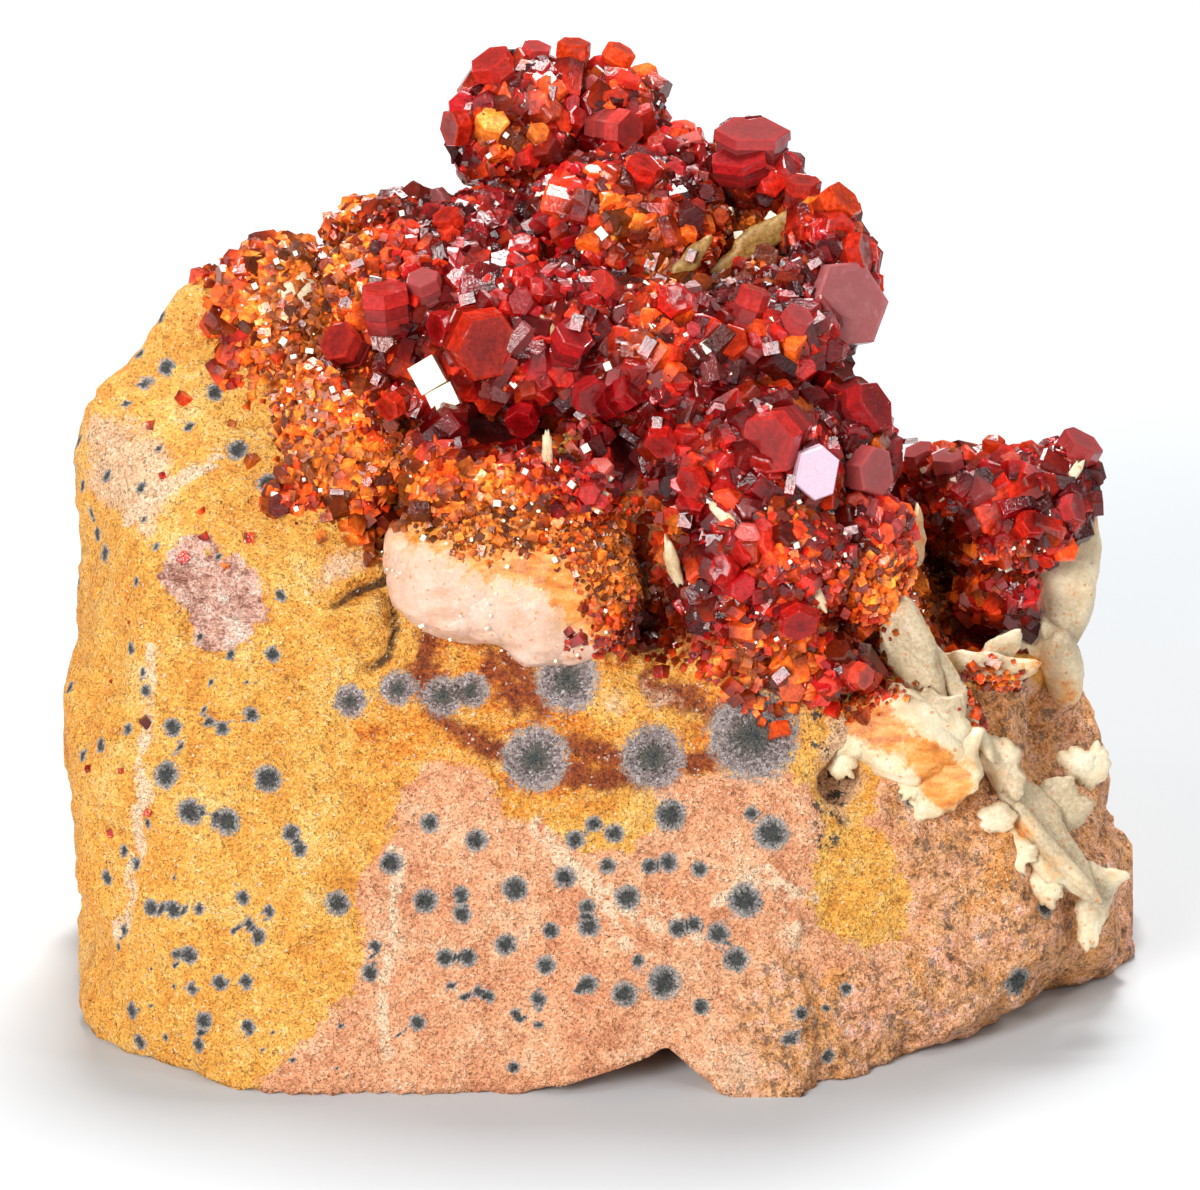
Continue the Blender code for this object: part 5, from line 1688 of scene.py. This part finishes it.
# crystals with one side turned to flash the key light, the wide ones also painted cream as a painted
# reflection: across, up, half width, half length, spin and how much further forward they stand
MIRRORS = [
    (-12.6, 16.2, 1.2, 1.05, 30, 0), (-11.5, 14.5, 0.9, 1.05, 26, 2.0), (12.8, 18.3, 0.5, 0.6, 10, 0),
    (6.8, 25.2, 0.36, 0.45, 70, 0), (-9.8, 22.0, 0.45, 0.6, 15, 0), (14.2, 8.2, 0.42, 0.7, 80, 0),
    (4.3, 12.6, 0.45, 0.6, 85, 0), (13.5, -6.0, 0.5, 0.6, 40, 0), (18.7, 4.8, 0.36, 0.5, 10, 0),
    (6.4, 5.6, 0.5, 0.6, 80, 0), (3.6, 18.4, 0.55, 0.7, 60, 0), (-18.0, 24.6, 0.3, 0.5, 20, 0),
    (16.8, 5.6, 0.3, 0.8, 50, 0), (-16.6, 16.0, 0.33, 0.4, 65, 0), (-3.6, 37.0, 0.3, 0.8, 80, 0),
    (-1.6, 20.2, 0.55, 0.6, 75, 0), (16.0, 24.6, 0.3, 0.5, 30, 0), (22.4, 11.4, 0.2, 1.2, 5, 0),
]
print("large crystals and mirrors:", len(DRUSE_CRYSTALS) + len(CLUSTER_CRYSTALS), len(MIRRORS))


# %% Where and how a crystal stands
def first_met(x, y, lumps):
    """Where the viewer's line through this place first meets a lump, or passes nearest to one.

    Measured in a lump's own half sizes the lump is a unit ball, and where a line meets a unit
    ball is the lower answer of a quadratic.
    """
    start = from_front(x, y, 0.0)
    along = from_front(x, y, 1.0) - start
    best, best_miss = None, np.inf
    for lump in lumps:
        p = ((start - from_front(*lump[:3])) @ FRONT_AXES) / lump[3:]
        d = (along @ FRONT_AXES) / lump[3:]
        a, b, c = d @ d, p @ d, p @ p - 1
        miss = c - b * b / a
        back = (-b - math.sqrt(max(b * b - a * c, 0))) / a
        better = back < best if miss <= 0 and best_miss <= 0 and best is not None else miss < best_miss
        if better:
            best, best_miss = back, max(miss, 0)
    return start + along * best


def leaning(lean, way, turn):
    """Directions of a crystal that leans from the viewer by LEAN degrees in the direction WAY."""
    return FRONT_AXES @ turn_about("Z", way) @ turn_about("Y", lean) @ turn_about("Z", turn)


def flashing(light_way, spin):
    """Directions of a crystal whose side faces halfway between the viewer and a light."""
    half = np.array(light_way) - AWAY
    half /= np.linalg.norm(half)
    axis = np.cross(half, RISE)
    axis /= np.linalg.norm(axis)
    other = np.cross(half, axis)
    cos, sin = math.cos(math.radians(spin)), math.sin(math.radians(spin))
    along = cos * axis + sin * other
    return np.stack([half, np.cross(along, half), along], axis=-1)


first_place = to_front(first_met(*DRUSE_CRYSTALS[0][:2], DRUSE_LUMPS))
print("the first one stands at:", [round(float(x), 1) for x in first_place])

# %% Large crystals
SINK = 0.2
MIRROR_LIFT = (0.6, 1.4)
MIRROR_TONE, MIRROR_SHADE = 0.9, 0.6
MIRROR_CLEARING = 1.8
# mirrors wider than this are painted cream: a painted reflection
PAINTED_MIRROR_WIDTH = 0.8


def large_crystals(name, table, lumps, mirrors, seed):
    """Stepped crystals by their table and plain ones for the mirrors, with the places they take."""
    rng = np.random.default_rng(seed)
    centres, axes = [], []
    for x, y, half_width, half_length, lean, way, turn, *_ in table:
        centres.append(first_met(x, y, lumps) - AWAY * SINK * half_length)
        axes.append(leaning(lean, way, turn))
    columns = np.array(table).T
    points, triangles = prisms(np.array(centres), np.array(axes), columns[2], columns[3], rng, STEPPED)
    # painted shade of each large crystal
    shades = rng.uniform(0.65, 1.0, len(table))
    crystal_piece(name, points, triangles, columns[7], columns[8], shades, STEPPED, LARGE_FINISH)
    if mirrors:
        wide, long = np.array(mirrors).T[2:4]
        lift, per_width = MIRROR_LIFT
        spots = np.array([first_met(x, y, lumps) - AWAY * (lift + per_width * w + ahead)
                          for x, y, w, *_, ahead in mirrors])
        turned = np.array([flashing(KEY_WAY, spin) for *_, spin, _ in mirrors])
        made, faces = prisms(spots, turned, wide, long, rng, PLAIN, 4)
        tones, shades = MIRROR_TONE + 0 * wide, MIRROR_SHADE + 0 * wide
        # the wide mirrors get the cream bloom: a painted reflection
        crystal_piece(name + "_mirrors", made, faces, tones, np.where(wide > PAINTED_MIRROR_WIDTH, 2.0, 0.0), shades, PLAIN)
        centres.extend(spots)
        columns = np.concatenate([columns[:5], np.stack([MIRROR_CLEARING * wide] * 5)], axis=1)
    return np.array(centres), columns[2]


large_places, large_widths = large_crystals("vanadinite_large", DRUSE_CRYSTALS, DRUSE_LUMPS, MIRRORS, 7)
cluster_places, cluster_widths = large_crystals("cluster_large", CLUSTER_CRYSTALS, CLUSTER_LUMPS, [], 8)

# %% [markdown]
# ## The crust of smaller crystals
# Thousands of crystals cover the lumps on every side.  They are scattered by area, dropped where
# another lump, the block or a large crystal already is, and thinned to one in each small cube, so
# that they crowd without piling up.  Their size follows a field: coarse in the middle of the mass
# and fine as sugar at its edges and hollows.  A second field turns whole patches the same way,
# since neighbours often grow side by side.

# %% Sizes of the crust
# across, up, reach, share of the full size lost
FINE_PLACES = [(-24, 18, 7, 0.6), (-20, 10, 6, 0.6), (-8, 6.5, 6, 0.65), (0.5, 3, 4, 0.65), (12, -2, 4, 0.35),
               (20, 1, 5, 0.55), (16, 5.6, 3, 0.4), (27, 2, 5, 0.55), (8, 25, 4, 0.55), (12, 26.5, 3.4, 0.4),
               (1.5, 28.6, 2.6, 0.4), (-2, 24, 3.6, 0.4), (-18, 27, 6, 0.55), (15, -6, 5, 0.3),
               (-7, 31, 5, 0.4), (33, 2, 4, 0.4), (8, 12, 3, 0.3), (3, 36, 3, 0.3), (13, 22, 3, 0.4),
               (-2, 9, 3, 0.4)]
# name, corners, rings, and the classes: half widths from, to, and the cube that holds one
CRUST_SIZES = [
    ("_coarse", 6, CHAMFERED, [(0.85, 1.3, 1.5), (0.60, 0.85, 1.06)]),
    ("_middle", 6, PLAIN, [(0.42, 0.60, 0.76)]),
    ("_fine", 4, PLAIN, [(0.28, 0.42, 0.67), (0.17, 0.28, 0.56)]),
]
CRUST_TRIES = 200000
BACK_SIZE = 1.6


def size_share(points):
    """1 where crystals reach their full size, less the bells of the fine places, never under 0.3."""
    return np.clip(1 - round_bells(points, FINE_PLACES), 0.3, 1)


print("size share in the orange tongue:", size_share(from_front(-24, 18, -9)[None]).round(2))

# %% Growing a patch
PATCH = 3.0
LENGTH_SHARES = (0.7, 1.3)
STANDING = (-0.25, 0.3)
# a few crystals carry frost: a rougher skin whose pale colour is partly painted sheen
FROST_SHEEN_SHARE, FROST_SHEEN_RANGE = 0.08, (0.2, 0.6)
# painted shade of each crystal, and how much of it the hollows take away
USUAL_SHADE, SHADE_SPREAD, LEAST_SHADE = 0.62, 0.30, 0.10
PAINTED_HOLLOW_DARKENING = 0.78


def growing_ways(points, normals, rng):
    """Crystal axes: outwards, plus the way of their patch, plus a little of their own.

    Most lie across the slope they grow on, so that their sides are seen more than their ends.
    """
    patch = np.stack([cell_noise(points, PATCH, 80 + k) for k in range(3)], axis=-1)
    ways = 1.2 * patch + rng.normal(0, 0.5, normals.shape)
    ways += (0.25 - 0.45 * (ways * normals).sum(axis=1))[:, None] * normals
    return ways / np.linalg.norm(ways, axis=1, keepdims=True)


def grow(name, spots, normals, wide, rng, profile, sides=4, tone_shift=0.0, shades=1.0):
    """Crystals at these spots as one piece, each with its own length, tone, frost with painted sheen, and painted
    shade.
    """
    ways = growing_ways(spots, normals, rng)
    long = wide * rng.uniform(*LENGTH_SHARES, len(wide))
    axes = axes_along(ways, rng.uniform(0, 2 * np.pi, len(wide)))
    centres = spots + normals * (rng.uniform(*STANDING, len(wide)) * long)[:, None]
    points, triangles = prisms(centres, axes, wide, long, rng, profile, sides)
    tones = np.clip(tone_of(spots) + tone_shift + rng.normal(0, 0.2, len(wide)), 0, 1)
    # painted shade in the hollows: the crystals there are coloured darker and lose their bloom
    dark = hollow_shade(spots)
    has_frost_sheen = rng.random(len(wide)) < FROST_SHEEN_SHARE * tones
    frost_sheens = np.where(has_frost_sheen, rng.uniform(*FROST_SHEEN_RANGE, len(wide)), 0) * (1 - dark)
    own_shade = np.clip(rng.normal(USUAL_SHADE, SHADE_SPREAD, len(wide)), LEAST_SHADE, 1)
    shades = shades * own_shade * (1 - PAINTED_HOLLOW_DARKENING * dark)
    crystal_piece(name, points, triangles, tones, frost_sheens, shades, profile)


print("one crystal in", round(1 / FROST_SHEEN_SHARE), "may carry frost")


# %% Crust crystals
def crust(name, surface, lumps, taken, widths, seed, full):
    """Crystals of all sizes over a ground of lumps, none where another lump buries them."""
    rng = np.random.default_rng(seed)
    spots, normals, chosen = scatter(*surface, CRUST_TRIES, rng)
    depths = depth_in_lumps(spots - hollow_step(spots), lumps)
    depths[chosen // (len(surface[1]) // len(lumps)), np.arange(len(spots))] = np.inf
    nearest = depths.min(axis=0)
    clear = (nearest > 0.93) & (above_rock(spots) > -0.2) & (spots[:, 2] > 1.5)
    for place, width in zip(taken, widths):
        clear &= ((spots - place) ** 2).sum(axis=1) > (0.9 * width) ** 2
    spots, normals, nearest = spots[clear], normals[clear], nearest[clear]
    # painted shade: crystals in the creases between lumps are coloured darker
    painted_crease_shade = 0.45 + 0.55 * smooth_step(nearest, 1.0, 1.3)
    behind = smooth_step(normals @ AWAY, 0.1, 0.5)
    wanted = full * size_share(spots) * np.exp(rng.normal(0, 0.38, len(spots)))
    wanted = wanted * (1 + (BACK_SIZE - 1) * behind)
    for title, sides, profile, classes in CRUST_SIZES:
        picked = []
        for least, most, cell in classes:
            of_class = np.flatnonzero((wanted >= least) & (wanted < most))
            picked.append(of_class[keep_one_per_cell(spots[of_class], cell)])
        picked = np.concatenate(picked)
        # the painted shade, raised more for the four sided grains
        shades = painted_crease_shade[picked] * (1.45 if sides == 4 else 1.1)
        grow(name + title, spots[picked], normals[picked], wanted[picked], rng, profile, sides, shades=shades)


druse_surface, cluster_surface = (druse_points, druse_triangles), (cluster_points, cluster_triangles)
crust("vanadinite_crust", druse_surface, DRUSE_LUMPS, large_places, large_widths, 31, 0.52)
crust("cluster_crust", cluster_surface, CLUSTER_LUMPS, cluster_places, cluster_widths, 33, 0.46)

# %% [markdown]
# ## Glints
# A druse sparkles because some of its many faces happen to throw the key light at the viewer.
# A few hundred small crystals are turned so that one side does just that, and are painted pale cream as a painted
# highlight.

# %% Glints
def glints(name, surface, lumps, count, cell, wide, seed):
    """Small crystals on the side that the viewer sees, turned to flash and painted cream as a painted highlight,
    fewer in the hollows.
    """
    rng = np.random.default_rng(seed)
    spots, normals, _ = scatter(*surface, count, rng)
    clear = (depth_in_lumps(spots, lumps).min(axis=0) > 0.95) & (above_rock(spots) > 0)
    clear &= (normals @ -AWAY > 0.3) & (rng.random(count) > hollow_shade(spots))
    spots, normals = spots[clear], normals[clear]
    kept = keep_one_per_cell(spots, cell)
    spots, normals = spots[kept], normals[kept]
    wide = rng.uniform(*wide, len(spots)) * np.exp(rng.normal(0, 0.3, len(spots)))
    turned = np.array([flashing(KEY_WAY, spin) for spin in rng.uniform(0, 180, len(spots))])
    centres = spots + normals * 0.45 - AWAY * 0.1
    points, triangles = prisms(centres, turned, wide, wide * rng.uniform(0.5, 1.3, len(spots)), rng, PLAIN, 4)
    # frost at 2.0 paints them cream: a painted highlight
    crystal_piece(name, points, triangles, 0.9 + 0 * wide, 2.0 + 0 * wide, 0.8 + 0 * wide, PLAIN)


mound_surface = (mound_points, mound_triangles)
glints("druse_glints", druse_surface, DRUSE_LUMPS, 5200, 0.95, (0.07, 0.24), 51)
glints("mound_glints", mound_surface, DRUSE_LUMPS, 180, 1.0, (0.06, 0.14), 53)
glints("cluster_glints", cluster_surface, CLUSTER_LUMPS, 520, 1.2, (0.07, 0.20), 52)

# %% [markdown]
# ## Sugar
# Towards its edges the crust thins out to single grains on the block and on the barite.  The
# chance of a grain rises from 0 outside an outline to 1 well inside it.

# %% Places of the sugar
MOUND_SUGAR = [[(-18, 5.5), (-13, 3.6), (-9.6, 2.4), (-7, 3.1), (-4.5, 3.2), (-2.2, 0.6), (-1.4, -2),
                (-0.8, -7), (6, -7), (6, 14), (-18, 14)]]
SPRAY_SUGAR = [[(15, -8.4), (18, -8.6), (20, -8.2), (22, -7.0), (21.4, -5), (20, -3), (15, -5)],
               [(28, -6), (30.4, -6), (30.4, -8), (28, -8)]]
# single orange grains on the open rock
LONE_GRAINS = [(-31, 2.7), (-29.5, 4.4), (-29.7, 6.3), (-24, 7.5), (-28, 1.8), (-34, -9.5), (-33.7, -16),
               (-36.5, -17.5), (-32.4, 9.0), (-27.5, 12.5), (-25.6, 9.8), (-30.8, 14.5), (-33.4, 12.8),
               (-22.5, 5.6), (-35, -2), (-36.2, -6.4), (-38, -13), (-35.4, -13.2), (-20.6, 4.2), (-26, 4.4)]


print("lone grains:", len(LONE_GRAINS))


# %% Sugar crystals
def sugar(name, surface, outlines, chance_ramp, tries, cell, wide, seed, tone_shift, extra=()):
    """Grains inside outlines of the front frame, on the side that the viewer sees.

    The chance is a smooth step on the depth inside the outline plus noise, to the power 1.5.
    """
    rng = np.random.default_rng(seed)
    spots, normals, _ = scatter(*surface, tries, rng)
    x, y, _ = to_front(spots)
    depth = np.max([outline_depth(x, y, outline) for outline in outlines], axis=0)
    depth += 1.4 * rough_noise(spots, 2.4, seed)
    chance = smooth_step(depth, *chance_ramp) ** 1.5
    chosen = np.flatnonzero((rng.random(len(spots)) < chance) & (normals @ -AWAY > 0.05))
    chosen = chosen[keep_one_per_cell(spots[chosen], cell)]
    lone = [seen_point(a, b, x, y, normals) for a, b in extra]
    chosen = np.concatenate([chosen, np.array(lone, int)])
    wide = rng.uniform(*wide, len(chosen)) * np.exp(rng.normal(0, 0.3, len(chosen)))
    grow(name, spots[chosen], normals[chosen], wide, rng, PLAIN, tone_shift=tone_shift)


rock_surface, spray_surface = (rock_points, rock_triangles), (spray_points, spray_triangles)
sugar("rock_sugar", rock_surface, CRUST_GROUND, (-2.8, 1.0), 90000, 0.64, (0.19, 0.40), 41, -0.35, LONE_GRAINS)
sugar("mound_sugar", mound_surface, MOUND_SUGAR, (-1.4, 5.5), 90000, 0.33, (0.10, 0.22), 43, -0.45)
sugar("spray_sugar", spray_surface, SPRAY_SUGAR, (-1.6, 2.2), 60000, 0.45, (0.12, 0.26), 45, -0.6)
